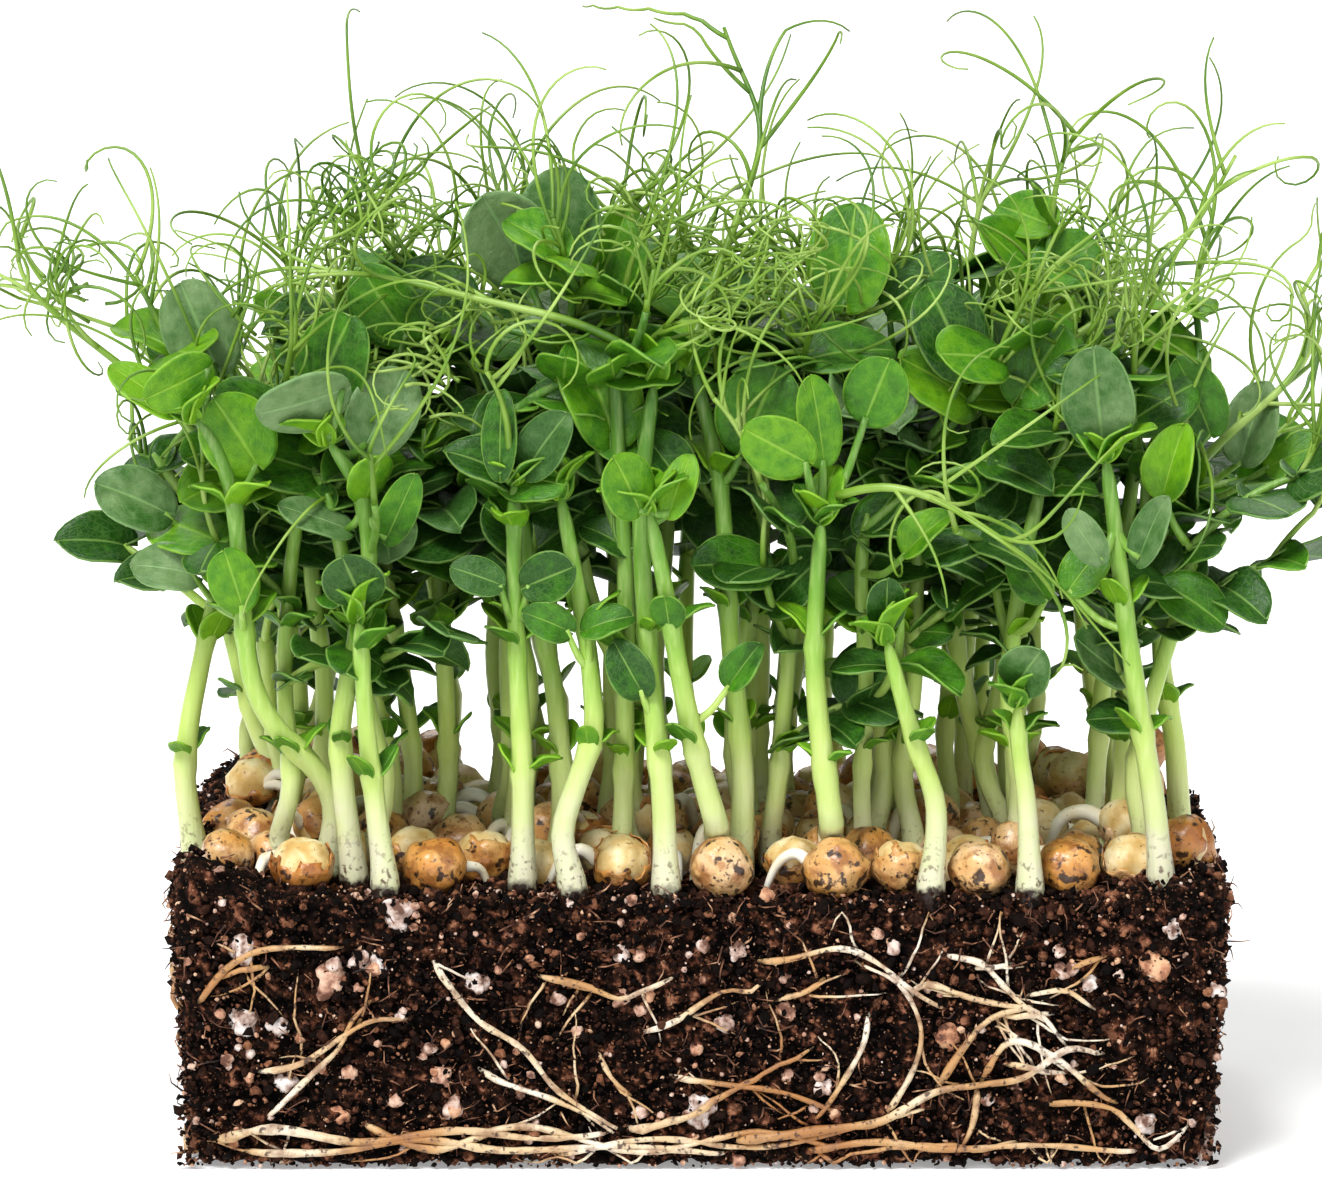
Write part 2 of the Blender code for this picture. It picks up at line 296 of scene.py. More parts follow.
def perlite_finish():
    material, tree, shader, place = new_finish("perlite", 0.8)
    own = stored(tree, "shade")
    stain = grain(tree, place, 1.8 * MM, 4.0)
    pits = wire(tree, "TexVoronoi", {"Vector": place, "Scale": 1 / (0.9 * MM)}).outputs["Distance"]
    white = (0.38, seen(98, 66, 52)), (0.47, seen(176, 152, 140)), (0.60, seen(226, 216, 212))
    tan = (0.38, seen(96, 56, 38)), (0.50, seen(178, 122, 90)), (0.64, seen(216, 170, 132))
    colour = mixed(tree, own, ramp(tree, stain, white), ramp(tree, stain, tan))
    # Painted shade: small dark spots stand for pores that the grain's mesh doesn't have.
    colour = mixed(tree, faded(tree, pits, 0.08, 0.2), seen(70, 46, 38), colour)
    finish_surface(tree, shader, colour, stain, 0.9 * MM)
    return material


def fibre_finish():
    material, tree, shader, place = new_finish("soil_fibre", 0.9)
    wash = grain(tree, place, 2.5 * MM, 2.0)
    stops = (
        (0.35, seen(34, 20, 15)),
        (0.5, seen(98, 60, 42)),
        (0.62, seen(160, 112, 80)),
        (0.72, seen(206, 172, 136)),
    )
    finish_surface(tree, shader, ramp(tree, wash, stops), wash, 0.1 * MM)
    return material


soil_material = soil_finish()
crumb_material = crumb_finish()
perlite_material = perlite_finish()
fibre_material = fibre_finish()
print("made:", soil_material.name, crumb_material.name, perlite_material.name)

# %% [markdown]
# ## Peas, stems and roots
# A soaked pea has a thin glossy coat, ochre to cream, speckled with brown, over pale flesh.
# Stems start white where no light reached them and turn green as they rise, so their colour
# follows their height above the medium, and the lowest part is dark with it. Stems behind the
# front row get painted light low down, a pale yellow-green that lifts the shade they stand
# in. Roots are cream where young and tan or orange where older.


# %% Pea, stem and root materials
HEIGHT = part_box("soil_block")[1].z
FRONT_ROW = -38 * MM


def coat_finish():
    material, tree, shader, place = new_finish(
        "pea_coat",
        0.34,
        Coat_Weight=0.25,
        Coat_Roughness=0.25,
        Subsurface_Weight=0.12,
        Subsurface_Radius=(0.9, 0.5, 0.2),
        Subsurface_Scale=1.0 * MM,
    )
    own = stored(tree, "shade")
    wash = centred(tree, grain(tree, place, 5 * MM), 1.3)
    stops = (
        (0.0, seen(176, 106, 42)),
        (0.35, seen(206, 144, 70)),
        (0.7, seen(222, 176, 118)),
        (1.0, seen(230, 194, 156)),
    )
    colour = ramp(tree, calc(tree, "ADD", own, wash), stops)
    height = split(tree, place)["Z"]
    near_soil = faded(tree, height, HEIGHT - 1 * MM, HEIGHT + 5 * MM, 0.1, 0.0)
    patches = faded(tree, grain(tree, place, 2.6 * MM, 5.0), 0.47, 0.62, 0.0, 0.85)
    freckles = faded(tree, grain(tree, place, 0.7 * MM, 3.5), 0.60, 0.67, 0.0, 0.85)
    soiled = calc(tree, "ADD", grain(tree, place, 1.7 * MM, 6.0), near_soil)
    dirt = faded(tree, soiled, 0.59, 0.64, 0.0, 0.95)
    colour = mixed(tree, patches, colour, seen(150, 92, 44))
    colour = mixed(tree, freckles, colour, seen(92, 56, 32))
    colour = mixed(tree, dirt, colour, seen(46, 28, 19))
    finish_surface(tree, shader, colour, grain(tree, place, 1.6 * MM, 4.0), 0.4 * MM)
    return material


def flesh_finish():
    material, tree, shader, place = new_finish("pea_flesh", 0.45)
    wash = grain(tree, place, 3 * MM)
    stops = (
        (0.35, seen(206, 166, 96)),
        (0.5, seen(226, 196, 134)),
        (0.65, seen(238, 220, 174)),
    )
    colour = ramp(tree, wash, stops)
    dirt = faded(tree, grain(tree, place, 0.8 * MM, 2.0), 0.64, 0.72, 0.0, 0.8)
    colour = mixed(tree, dirt, colour, seen(120, 78, 48))
    finish_surface(tree, shader, colour, wash, 0.3 * MM)
    return material


def stem_finish():
    material, tree, shader, place = new_finish(
        "stem",
        0.38,
        Specular_IOR_Level=0.35,
        Subsurface_Weight=0.15,
        Subsurface_Radius=(0.8, 1.0, 0.4),
        Subsurface_Scale=1.2 * MM,
    )
    parts = split(tree, place)
    height = parts["Z"]
    behind = faded(tree, parts["Y"], FRONT_ROW, FRONT_ROW + 22 * MM)
    lower = faded(tree, height, HEIGHT + 22 * MM, HEIGHT + 62 * MM, 0.34, 0.0)
    streaks_place = wire(tree, "Mapping", {"Vector": place, "Scale": (1.0, 1.0, 0.12)}).outputs[0]
    streaks = grain(tree, streaks_place, 0.7 * MM)
    wash = centred(tree, grain(tree, place, 9 * MM), 0.3)
    rise = calc(tree, "ADD", faded(tree, height, HEIGHT, HEIGHT + 80 * MM), wash)
    stops = (
        (0.05, seen(208, 206, 176)),
        (0.13, seen(196, 207, 142)),
        (0.24, seen(180, 203, 106)),
        (0.40, seen(142, 182, 72)),
        (0.58, seen(106, 154, 52)),
        (0.85, seen(76, 124, 42)),
    )
    # Painted light: low down, stems behind the front row are mixed towards a pale yellow-green that
    # lifts the shade they stand in.
    painted_light_behind = calc(tree, "MULTIPLY", behind, lower)
    colour = mixed(tree, painted_light_behind, ramp(tree, rise, stops), seen(214, 236, 122))
    colour = mixed(tree, faded(tree, streaks, 0.45, 0.7, 0.0, 0.22), colour, seen(214, 230, 160))
    low = faded(tree, height, HEIGHT + 2 * MM, HEIGHT + 9 * MM, 0.9, 0.0)
    dirt = faded(tree, grain(tree, place, 0.9 * MM, 3.0), 0.56, 0.66)
    colour = mixed(tree, calc(tree, "MULTIPLY", low, dirt), colour, seen(84, 54, 36))
    uneven = calc(tree, "MULTIPLY_ADD", grain(tree, place, 1.5 * MM, 3.0), 4 * MM, height)
    buried = faded(tree, uneven, HEIGHT + 2.2 * MM, HEIGHT + 3.4 * MM, 1.0, 0.0)
    colour = mixed(tree, buried, colour, seen(40, 24, 17))
    finish_surface(tree, shader, colour, streaks, 0.12 * MM)
    return material


def root_finish():
    material, tree, shader, place = new_finish("root", 0.55)
    age = grain(tree, place, 16 * MM, 2.0)
    stops = (
        (0.38, seen(232, 220, 200)),
        (0.48, seen(214, 188, 148)),
        (0.57, seen(190, 146, 94)),
        (0.68, seen(164, 112, 62)),
    )
    colour = ramp(tree, age, stops)
    wash = faded(tree, grain(tree, place, 2.4 * MM, 4.0), 0.48, 0.66, 0.0, 0.75)
    colour = mixed(tree, wash, colour, seen(134, 92, 62))
    dirt = faded(tree, grain(tree, place, 0.8 * MM, 3.0), 0.57, 0.66, 0.0, 0.9)
    colour = mixed(tree, dirt, colour, seen(58, 34, 24))
    finish_surface(tree, shader, colour, grain(tree, place, 0.8 * MM), 0.2 * MM)
    return material


def sprout_finish():
    material, tree, shader, place = new_finish("white_sprout", 0.4)
    wash = grain(tree, place, 5 * MM)
    colour = ramp(tree, wash, ((0.35, seen(236, 222, 186)), (0.6, seen(250, 246, 230))))
    dirt = faded(tree, grain(tree, place, 1.0 * MM, 3.0), 0.66, 0.74, 0.0, 0.7)
    colour = mixed(tree, dirt, colour, seen(128, 88, 56))
    finish_surface(tree, shader, colour, wash, 0.15 * MM)
    return material


coat_material = coat_finish()
flesh_material = flesh_finish()
stem_material = stem_finish()
root_material = root_finish()
sprout_material = sprout_finish()
print("made:", coat_material.name, flesh_material.name, stem_material.name, root_material.name)

# %% [markdown]
# ## Leaves and tendrils
# Two greens grow side by side: fresh yellow-green leaves and older ones with a grey-blue
# waxy bloom. Each leaf carries a `tone` attribute from 0 to 1 that picks its place between
# them, and noise mottles it. Veins are drawn in the leaf's own UV square, where the midrib is
# the line up the middle and the pale rim is the square's border.


# %% Leaf and tendril materials
def leaf_finish():
    material, tree, shader, place = new_finish(
        "leaf",
        0.42,
        Specular_IOR_Level=0.3,
        Subsurface_Weight=0.1,
        Subsurface_Radius=(0.5, 1.0, 0.2),
        Subsurface_Scale=1.0 * MM,
    )
    square = wire(tree, "UVMap", {}, uv_map="UVMap").outputs["UV"]
    parts = split(tree, square)
    tone = stored(tree, "tone")
    side = calc(tree, "ABSOLUTE", calc(tree, "MULTIPLY_ADD", parts["X"], 2.0, -1.0))
    length = calc(tree, "ABSOLUTE", calc(tree, "MULTIPLY_ADD", parts["Y"], 2.0, -1.0))
    midrib = faded(tree, side, 0.02, 0.08, 0.85, 0.0)
    slant = calc(tree, "MULTIPLY_ADD", side, -0.75, parts["Y"])
    wave = calc(tree, "PINGPONG", calc(tree, "MULTIPLY", slant, 6.0), 0.5)
    branches = faded(tree, wave, 0.44, 0.5, 0.0, 0.36)
    stretched = wire(tree, "Mapping", {"Vector": square, "Scale": (11.0, 16.0, 1.0)}).outputs[0]
    cells = wire(tree, "TexVoronoi", {"Vector": stretched, "Scale": 1.0}, feature="DISTANCE_TO_EDGE")
    network = faded(tree, cells.outputs["Distance"], 0.02, 0.1, 0.16, 0.0)
    veins = calc(tree, "MAXIMUM", calc(tree, "MAXIMUM", midrib, branches), network)
    rim = faded(tree, calc(tree, "MAXIMUM", side, length), 0.94, 0.98)

    wash = centred(tree, grain(tree, place, 9 * MM), 0.55)
    mottle = centred(tree, grain(tree, place, 1.8 * MM, 4.0), 0.5)
    # The dark green in the middle is also where painted shade pushes the lower leaves of the shoots
    # behind.
    stops = (
        (0.0, seen(108, 162, 16)),
        (0.25, seen(62, 123, 14)),
        (0.5, seen(24, 70, 11)),
        (0.72, seen(54, 97, 36)),
        (1.0, seen(114, 143, 92)),
    )
    green = ramp(tree, calc(tree, "ADD", tone, calc(tree, "ADD", wash, mottle)), stops)
    pale = mixed(tree, tone, seen(158, 200, 60), seen(134, 174, 114))
    colour = mixed(tree, calc(tree, "MULTIPLY", veins, 0.55), green, pale)
    colour = mixed(tree, calc(tree, "MULTIPLY", rim, 0.42), colour, pale)
    relief = calc(tree, "MULTIPLY_ADD", veins, -0.8, grain(tree, place, 1.2 * MM))
    finish_surface(tree, shader, colour, relief, 0.14 * MM)
    return material


def tendril_finish():
    material, tree, shader, place = new_finish("tendril", 0.42)
    wash = grain(tree, place, 14 * MM, 2.0)
    stops = (
        (0.35, seen(76, 118, 26)),
        (0.5, seen(116, 154, 44)),
        (0.65, seen(158, 188, 92)),
    )
    finish_surface(tree, shader, ramp(tree, wash, stops), grain(tree, place, 0.6 * MM), 0.06 * MM)
    return material


leaf_material = leaf_finish()
tendril_material = tendril_finish()
print("made:", leaf_material.name, tendril_material.name)

# %% [markdown]
# ## Adding a piece
# Each finished mesh becomes one object at the origin, with its place in its vertices. It
# rides on the plant's single body, and it may stand for one or more of the plain solids.
# What is needed many times, such as a crumb or a leaf, is modelled once and then copied into
# one mesh at many places, which keeps the number of objects small.


# %% Helpers for pieces
UP = Vector((0, 0, 1))


def add_piece(name, mesh, material, slot, *replaced):
    mesh.materials.clear()
    mesh.materials.append(material)
    piece = bpy.data.objects.new(name, mesh)
    scene.collection.objects.link(piece)
    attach(piece, "root")
    if replaced:
        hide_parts(*replaced)
    return piece


def to_mesh(name, shape):
    """The bmesh as a smooth-shaded mesh."""
    mesh = bpy.data.meshes.new(name)
    shape.to_mesh(mesh)
    shape.free()
    mesh.shade_smooth()
    return mesh


def stamped(name, copies, attribute=None):
    """One mesh of many copies. Each is a template, a matrix and its attribute's value."""
    shape = bmesh.new()
    for template, matrix, value in copies:
        copy = template.copy()
        copy.transform(matrix)
        if attribute:
            own = copy.attributes.new(attribute, "FLOAT", "POINT")
            own.data.foreach_set("value", [value] * len(copy.vertices))
        shape.from_mesh(copy)
        bpy.data.meshes.remove(copy)
    return to_mesh(name, shape)


def add_copies(name, copies, attribute, material, slot):
    """Adds one piece made of many copies."""
    return add_piece(name, stamped(name, copies, attribute), material, slot)


def scattered(chance, x=1.0, y=1.0, z=1.0, lift=0.0):
    """A random vector, as wide in each direction as given, about a point this far up."""
    return Vector((chance.gauss(0, x), chance.gauss(0, y), chance.gauss(lift, z)))


def random_turn(chance):
    """A rotation to any direction, as a matrix."""
    axis = scattered(chance).normalized()
    return Matrix.Rotation(chance.uniform(0, math.tau), 4, axis)


def level_way(angle):
    """The level direction at this angle from +X."""
    return Vector((math.cos(angle), math.sin(angle), 0))


# %% [markdown]
# ## Routes and strands
# Stems, petioles, tendrils and roots are all tubes along a smooth line. A curve object with
# a round bevel sweeps every strand of a piece at once, and takes a radius at each point, so
# each strand can taper. The result is made a mesh, and the loose end caps are merged to it.


# %% Helpers for strands
def smooth_line(points, spacing):
    """Points about spacing apart on a smooth line through the given points."""
    ends = [2 * points[0] - points[1], *points, 2 * points[-1] - points[-2]]
    line = [points[0].copy()]
    for before, start, stop, after in zip(ends, ends[1:], ends[2:], ends[3:]):
        steps = max(1, round((stop - start).length / spacing))
        for step in range(1, steps + 1):
            t = step / steps
            line.append(
                0.5
                * (
                    2 * start
                    + (stop - before) * t
                    + (2 * before - 5 * start + 4 * stop - after) * t**2
                    + (3 * start - before - 3 * stop + after) * t**3
                )
            )
    return line


def tapered(line, first, last):
    """A radius for each point of line, from first to last."""
    return [first + (last - first) * step / (len(line) - 1) for step in range(len(line))]


def strand_mesh(name, strands, roundness):
    """One mesh of many tubes. Each strand is a line and its radii, in metres."""
    curve = bpy.data.curves.new(name, "CURVE")
    curve.dimensions = "3D"
    curve.bevel_depth = MM
    curve.bevel_resolution = roundness
    curve.use_fill_caps = True
    for line, radii in strands:
        spline = curve.splines.new("POLY")
        spline.points.add(len(line) - 1)
        for point, place, radius in zip(spline.points, line, radii):
            point.co = (*place, 1.0)
            point.radius = radius / MM
    holder = bpy.data.objects.new(name, curve)
    scene.collection.objects.link(holder)
    swept = bpy.data.meshes.new_from_object(holder.evaluated_get(bpy.context.evaluated_depsgraph_get()))
    bpy.data.objects.remove(holder)
    shape = bmesh.new()
    shape.from_mesh(swept)
    bpy.data.meshes.remove(swept)
    bmesh.ops.remove_doubles(shape, verts=shape.verts, dist=0.002 * MM)
    return to_mesh(name, shape)


def add_strands(name, strands, roundness, material, slot, *replaced):
    """Adds one piece made of many tubes."""
    return add_piece(name, strand_mesh(name, strands, roundness), material, slot, *replaced)


def centreline(node_name, spacing):
    """The middle of a plain tube, read where planes across its longest side cut its edges."""
    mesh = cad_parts[node_name].data
    low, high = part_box(node_name)
    axis = max(range(3), key=lambda side: high[side] - low[side])
    reach = high[axis] - low[axis]
    count = round(reach / spacing)
    line = []
    for step in range(count):
        level = low[axis] + reach * (step + 0.5) / count
        cuts = []
        for edge in mesh.edges:
            a, b = (mesh.vertices[index].co for index in edge.vertices)
            if (a[axis] - level) * (b[axis] - level) < 0:
                cuts.append(a.lerp(b, (level - a[axis]) / (b[axis] - a[axis])))
        line.append(sum(cuts, Vector()) / len(cuts))
    if line[-1].length < line[0].length:
        line.reverse()
    for _ in range(2):
        middles = [(a + 2 * b + c) / 4 for a, b, c in zip(line, line[1:], line[2:])]
        line = [line[0], *middles, line[-1]]
    return line


numbered = {}
for kind in ("pea", "stem", "leaf", "tendril", "root"):
    numbered[kind] = sorted(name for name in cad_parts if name.startswith(kind + "_"))
print({kind: len(names) for kind, names in numbered.items()})

# %% [markdown]
# ## The slab's surface
# The slab keeps the shape of the tray: a box whose sides lean in towards the bottom. Its top
# isn't level, because the medium is heaped at the corners. These functions say where the
# surface is, so that crumbs, perlite, roots and peas can all be set on it.

# %% Measure the slab
slab_low, slab_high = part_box("soil_block")
WIDTH = slab_high.x - slab_low.x
DEPTH = slab_high.y - slab_low.y
DRAFT = math.tan(math.radians(4))
MOUNDS = (
    # centre x and y, spread in x and y, and how high the medium is heaped, in mm
    (-68, -40, 6, 7, 5.5),
    (-58, -36, 6, 6, 1.2),
    (-61, 27, 10, 13, 9.5),
    (-68, -2, 6, 20, 4.5),
    (66, -34, 8, 10, 3.0),
    (60, 25, 14, 14, 2.5),
    (8, -46, 34, 6, -1.2),
)
FACES = {
    # the way along the face, the way out of it, how far out it is, and half its length
    "front": (Vector((1, 0, 0)), Vector((0, -1, 0)), DEPTH / 2, WIDTH / 2),
    "right": (Vector((0, 1, 0)), Vector((1, 0, 0)), WIDTH / 2, DEPTH / 2),
    "back": (Vector((-1, 0, 0)), Vector((0, 1, 0)), DEPTH / 2, WIDTH / 2),
    "left": (Vector((0, -1, 0)), Vector((-1, 0, 0)), WIDTH / 2, DEPTH / 2),
}


def heap(x, y):
    """How far the medium stands above the slab's level top."""
    rise = 0.0
    for centre_x, centre_y, spread_x, spread_y, height in MOUNDS:
        away = ((x / MM - centre_x) / spread_x) ** 2 + ((y / MM - centre_y) / spread_y) ** 2
        rise += height * MM * math.exp(-away)
    return rise


def on_face(face, along, height, out=0.0):
    """A point on one of the slab's four leaning sides."""
    run, outward, reach, _ = FACES[face]
    point = run * along + outward * (reach - (HEIGHT - height) * DRAFT + out)
    point.z = height
    return point


print("slab in mm:", [round(size / MM, 1) for size in (WIDTH, DEPTH, HEIGHT)])

# %% [markdown]
# ## The slab
# A cube is cut into a fine grid, one direction after another, so that its faces are about a
# millimetre across or less. Its corners are rounded by pulling each point to a set distance
# from a smaller inner box. Then every point moves along its normal by noise: wide waves from
# the tray's walls, lumps the size of crumbs from cell noise, and a fine roughness.

# %% Model the slab
SLAB_CUTS = (214, 84, 56)
SLAB_ROUNDING = 3.0 * MM


def cut_along(shape, axis, cuts):
    edges = []
    for edge in shape.edges:
        run = edge.verts[1].co - edge.verts[0].co
        if abs(run[axis]) > 0.5 * run.length:
            edges.append(edge)
    bmesh.ops.subdivide_edges(shape, edges=edges, cuts=cuts, use_grid_fill=True)


def rounded(point, half):
    """Moves a point of a box's skin onto the same box with round edges."""
    inner = [max(-h + SLAB_ROUNDING, min(h - SLAB_ROUNDING, c)) for c, h in zip(point, half)]
    away = point - Vector(inner)
    return Vector(inner) + away.normalized() * SLAB_ROUNDING if away.length > 0 else point


def lumps(point, size):
    """Rounded bumps about size wide, from -0.5 to 0.5."""
    return 0.5 - min(1.0, noise.voronoi(point / size)[0][0])


slab_shape = bmesh.new()
bmesh.ops.create_cube(slab_shape, size=1)
bmesh.ops.scale(slab_shape, vec=(WIDTH, DEPTH, HEIGHT), verts=slab_shape.verts)
for axis, cuts in enumerate(SLAB_CUTS):
    cut_along(slab_shape, axis, cuts)
half_size = (WIDTH / 2, DEPTH / 2, HEIGHT / 2)
for vertex in slab_shape.verts:
    vertex.co = rounded(vertex.co, half_size)
    vertex.co.z += HEIGHT / 2
    lean = (HEIGHT - vertex.co.z) * DRAFT
    vertex.co.x *= 1 - 2 * lean / WIDTH
    vertex.co.y *= 1 - 2 * lean / DEPTH
slab_shape.normal_update()
relief = slab_shape.verts.layers.float.new("relief")
moved = []
for vertex in slab_shape.verts:
    place = vertex.co
    bumps = 1.7 * MM * lumps(place, 2.7 * MM)
    bumps += 1.2 * MM * lumps(place + Vector((1, 2, 3)), 1.4 * MM)
    bumps += 0.6 * MM * noise.noise(place / (0.9 * MM))
    # The lumps' height is kept for the soil colour, which paints light on the lumps and shade in the
    # hollows.
    vertex[relief] = max(-1.0, min(1.0, bumps / MM))
    push = bumps + 0.9 * MM * noise.noise(place / (14 * MM))
    point = place + vertex.normal * (push - 0.6 * MM)
    share = max(0.0, (place.z - HEIGHT * 0.8) / (HEIGHT * 0.2))
    point.z += heap(place.x, place.y) * min(1.0, share)
    point.z = max(point.z, 0.0)
    moved.append(point)
for vertex, point in zip(slab_shape.verts, moved):
    vertex.co = point
slab = add_piece("soil", to_mesh("soil", slab_shape), soil_material, "soil", "soil_block")
print("slab faces:", len(slab.data.polygons))

# %% [markdown]
# ## Crumbs and perlite
# Loose crumbs sit all over the slab and break up its outline. Thousands are needed, so each
# is a ball of twenty faces, dented by noise, stamped with its own size, turn and shade.
# Perlite grains are fewer and larger, so they are finer balls, and tan granules and pale
# specks lie between them. All of them are sunk into the surface by part of their size. The
# largest grains on the front face are listed one by one.

# %% Stamp the crumbs and the perlite
CRUMBS_PER_SQUARE_CM = {"front": 165, "right": 90, "back": 90, "left": 90, "top": 50}
SPECKS_PER_SQUARE_CM = 6
GRANULES_PER_SQUARE_CM = 0.8
GRAINS_PER_SQUARE_CM = 0.45
FIBRES_PER_SQUARE_CM = 6
BIG_GRAINS = (
    # x, height and width on the front face, in mm
    (-41, 35.5, 4.6),
    (-62, 31, 4.2),
    (-50, 26.3, 4.8),
    (-44, 28.5, 3.0),
    (-62, 20.5, 4.2),
    (-57, 20.0, 3.0),
    (-56, 12, 3.4),
    (-49, 7.5, 3.4),
    (-35, 13, 3.2),
    (-10.5, 30, 2.6),
    (5, 30.5, 2.8),
    (0.5, 8.5, 4.4),
    (3.5, 20.5, 3.0),
    (12, 22, 2.8),
    (17, 11.5, 2.8),
    (33.5, 18.5, 3.8),
    (61.5, 28.5, 4.4),
    (64, 33.5, 2.8),
    (60.5, 6.5, 3.6),
    (53, 26, 2.8),
    (-30, 26, 3.4),
    (70, 25, 2.6),
)


def dented_ball(seed, subdivisions, depth, lumpiness=3.2):
    """A rough ball of diameter 1."""
    shape = bmesh.new()
    bmesh.ops.create_icosphere(shape, subdivisions=subdivisions, radius=0.5)
    offset = Vector((seed, 2.0 * seed, 5.0))
    for vertex in shape.verts:
        vertex.co *= 1 + depth * noise.noise(vertex.co * lumpiness + offset)
    return to_mesh(f"ball_{seed}", shape)


def spots_on_side(chance, face, per_square_cm):
    """Random points on one side, each with the way out of it."""
    _, outward, _, half = FACES[face]
    spots = []
    for _ in range(round(per_square_cm * 2 * half * HEIGHT / (100 * MM * MM))):
        along = chance.uniform(-half, half) * 0.985
        spots.append((on_face(face, along, chance.uniform(0.4 * MM, HEIGHT + 0.5 * MM)), outward))
    return spots


def spots_on_top(chance, per_square_cm):
    """Random points on the top, most of them near its border and on the heaps."""
    spots = []
    for _ in range(round(per_square_cm * WIDTH * DEPTH / (100 * MM * MM))):
        x = chance.uniform(-WIDTH / 2, WIDTH / 2) * 0.995
        y = chance.uniform(-DEPTH / 2, DEPTH / 2) * 0.995
        border = min(WIDTH / 2 - abs(x), DEPTH / 2 - abs(y))
        if border < 9 * MM or heap(x, y) > 2 * MM or chance.random() < 0.3:
            spots.append((Vector((x, y, HEIGHT + heap(x, y))), Vector((0, 0, 1))))
    return spots


def spots_all_round(chance, per_square_cm):
    spots = [spot for face in FACES for spot in spots_on_side(chance, face, per_square_cm)]
    return spots + spots_on_top(chance, per_square_cm)


def sat_on(spot, outward, size, sink, turn, flat=1.0):
    """The matrix that seats a ball of diameter 1 on a surface, sunk by part of its size."""
    centre = spot + outward * size * (0.5 - sink)
    centre.z = max(centre.z, size * 0.75)
    squash = Matrix.Scale(flat, 4, outward)
    return Matrix.Translation(centre) @ squash @ turn @ Matrix.Scale(size, 4)


def crumb_copies(chance, spots):
    copies = []
    for spot, outward in spots:
        size = MM * min(2.3, 0.4 + chance.expovariate(3.4))
        squash = Matrix.Diagonal((1.0, chance.uniform(0.6, 1.0), chance.uniform(0.5, 0.9), 1))
        matrix = sat_on(spot, outward, size, chance.uniform(0.25, 0.7), random_turn(chance) @ squash)
        shade = min(1.0, max(0.0, chance.gauss(0.33, 0.25)))
        copies.append((chance.choice(crumb_templates), matrix, shade))
    return copies


chance = random.Random(11)
crumb_templates = [dented_ball(seed, 1, 0.9) for seed in range(6)]
for face in (*FACES, "top"):
    density = CRUMBS_PER_SQUARE_CM[face]
    spots = spots_on_top(chance, density) if face == "top" else spots_on_side(chance, face, density)
    copies = crumb_copies(chance, spots)
    add_copies(f"crumbs_{face}", copies, "shade", crumb_material, "soil")
    print(face, "crumbs:", len(copies))

grain_templates = [dented_ball(20 + seed, 3, 0.8, 2.2) for seed in range(8)]
granule_templates = [dented_ball(60 + seed, 2, 0.5, 2.2) for seed in range(5)]
speck_templates = [dented_ball(30 + seed, 1, 0.5) for seed in range(4)]
grains = []
for x, height, width in BIG_GRAINS:
    spot = on_face("front", x * MM, height * MM)
    matrix = sat_on(spot, FACES["front"][1], width * 0.86 * MM, 0.56, random_turn(chance), 0.45)
    grains.append((chance.choice(grain_templates), matrix, chance.choice((0.0, 0.1, 0.2, 0.75, 1.0))))
for spot, outward in spots_all_round(chance, GRAINS_PER_SQUARE_CM):
    size = MM * min(3.0, 0.9 + chance.expovariate(1.6))
    matrix = sat_on(spot, outward, size, 0.55, random_turn(chance), 0.5)
    grains.append((chance.choice(grain_templates), matrix, chance.uniform(0.0, 0.8)))
for face in ("right", "back", "left"):
    for spot, outward in spots_on_side(chance, face, GRAINS_PER_SQUARE_CM):
        matrix = sat_on(spot, outward, chance.uniform(2.4, 4.4) * MM, 0.56, random_turn(chance), 0.45)
        grains.append((chance.choice(grain_templates), matrix, chance.uniform(0.0, 0.3)))
for spot, outward in spots_on_side(chance, "front", GRANULES_PER_SQUARE_CM):
    matrix = sat_on(spot, outward, chance.uniform(1.0, 2.2) * MM, 0.45, random_turn(chance), 0.7)
    grains.append((chance.choice(granule_templates), matrix, chance.uniform(0.3, 1.0)))
for spot, outward in spots_all_round(chance, SPECKS_PER_SQUARE_CM):
    size = MM * min(1.3, 0.3 + chance.expovariate(4.0))
    matrix = sat_on(spot, outward, size, 0.35, random_turn(chance))
    grains.append((chance.choice(speck_templates), matrix, chance.uniform(0.2, 1.0)))
add_copies("perlite", grains, "shade", perlite_material, "soil")
print("perlite grains, granules and specks:", len(grains))

# %% [markdown]
# ## Fibres
# The medium is shredded plant matter, so short stiff fibres stick out of it everywhere. Each
# one is a bent hair of three points.

# %% Grow the fibres
chance = random.Random(17)
fibres = []
for spot, outward in spots_all_round(chance, FIBRES_PER_SQUARE_CM):
    way = scattered(chance)
    way = (way - 0.8 * way.dot(outward) * outward + 0.25 * outward).normalized()
    bow = scattered(chance) * 0.3 * MM
    length = chance.uniform(1.2, 3.6) * MM
    line = [spot, spot + way * length / 2 + outward * 0.5 * MM + bow, spot + way * length]
    if min(point.z for point in line) > 0.3 * MM:
        fibres.append((line, tapered(line, chance.uniform(0.1, 0.2) * MM, 0.05 * MM)))
add_strands("soil_fibres", fibres, 0, fibre_material, "soil")
print("fibres:", len(fibres))

# %% [markdown]
# ## Roots
# Roots that reached the tray's wall ran along it, so they lie flat on the slab's sides. The
# ones at the front follow listed routes. All four sides also get random ones that wander
# like them, and a mat of roots runs round the foot. Each root sends out a few finer hairs.

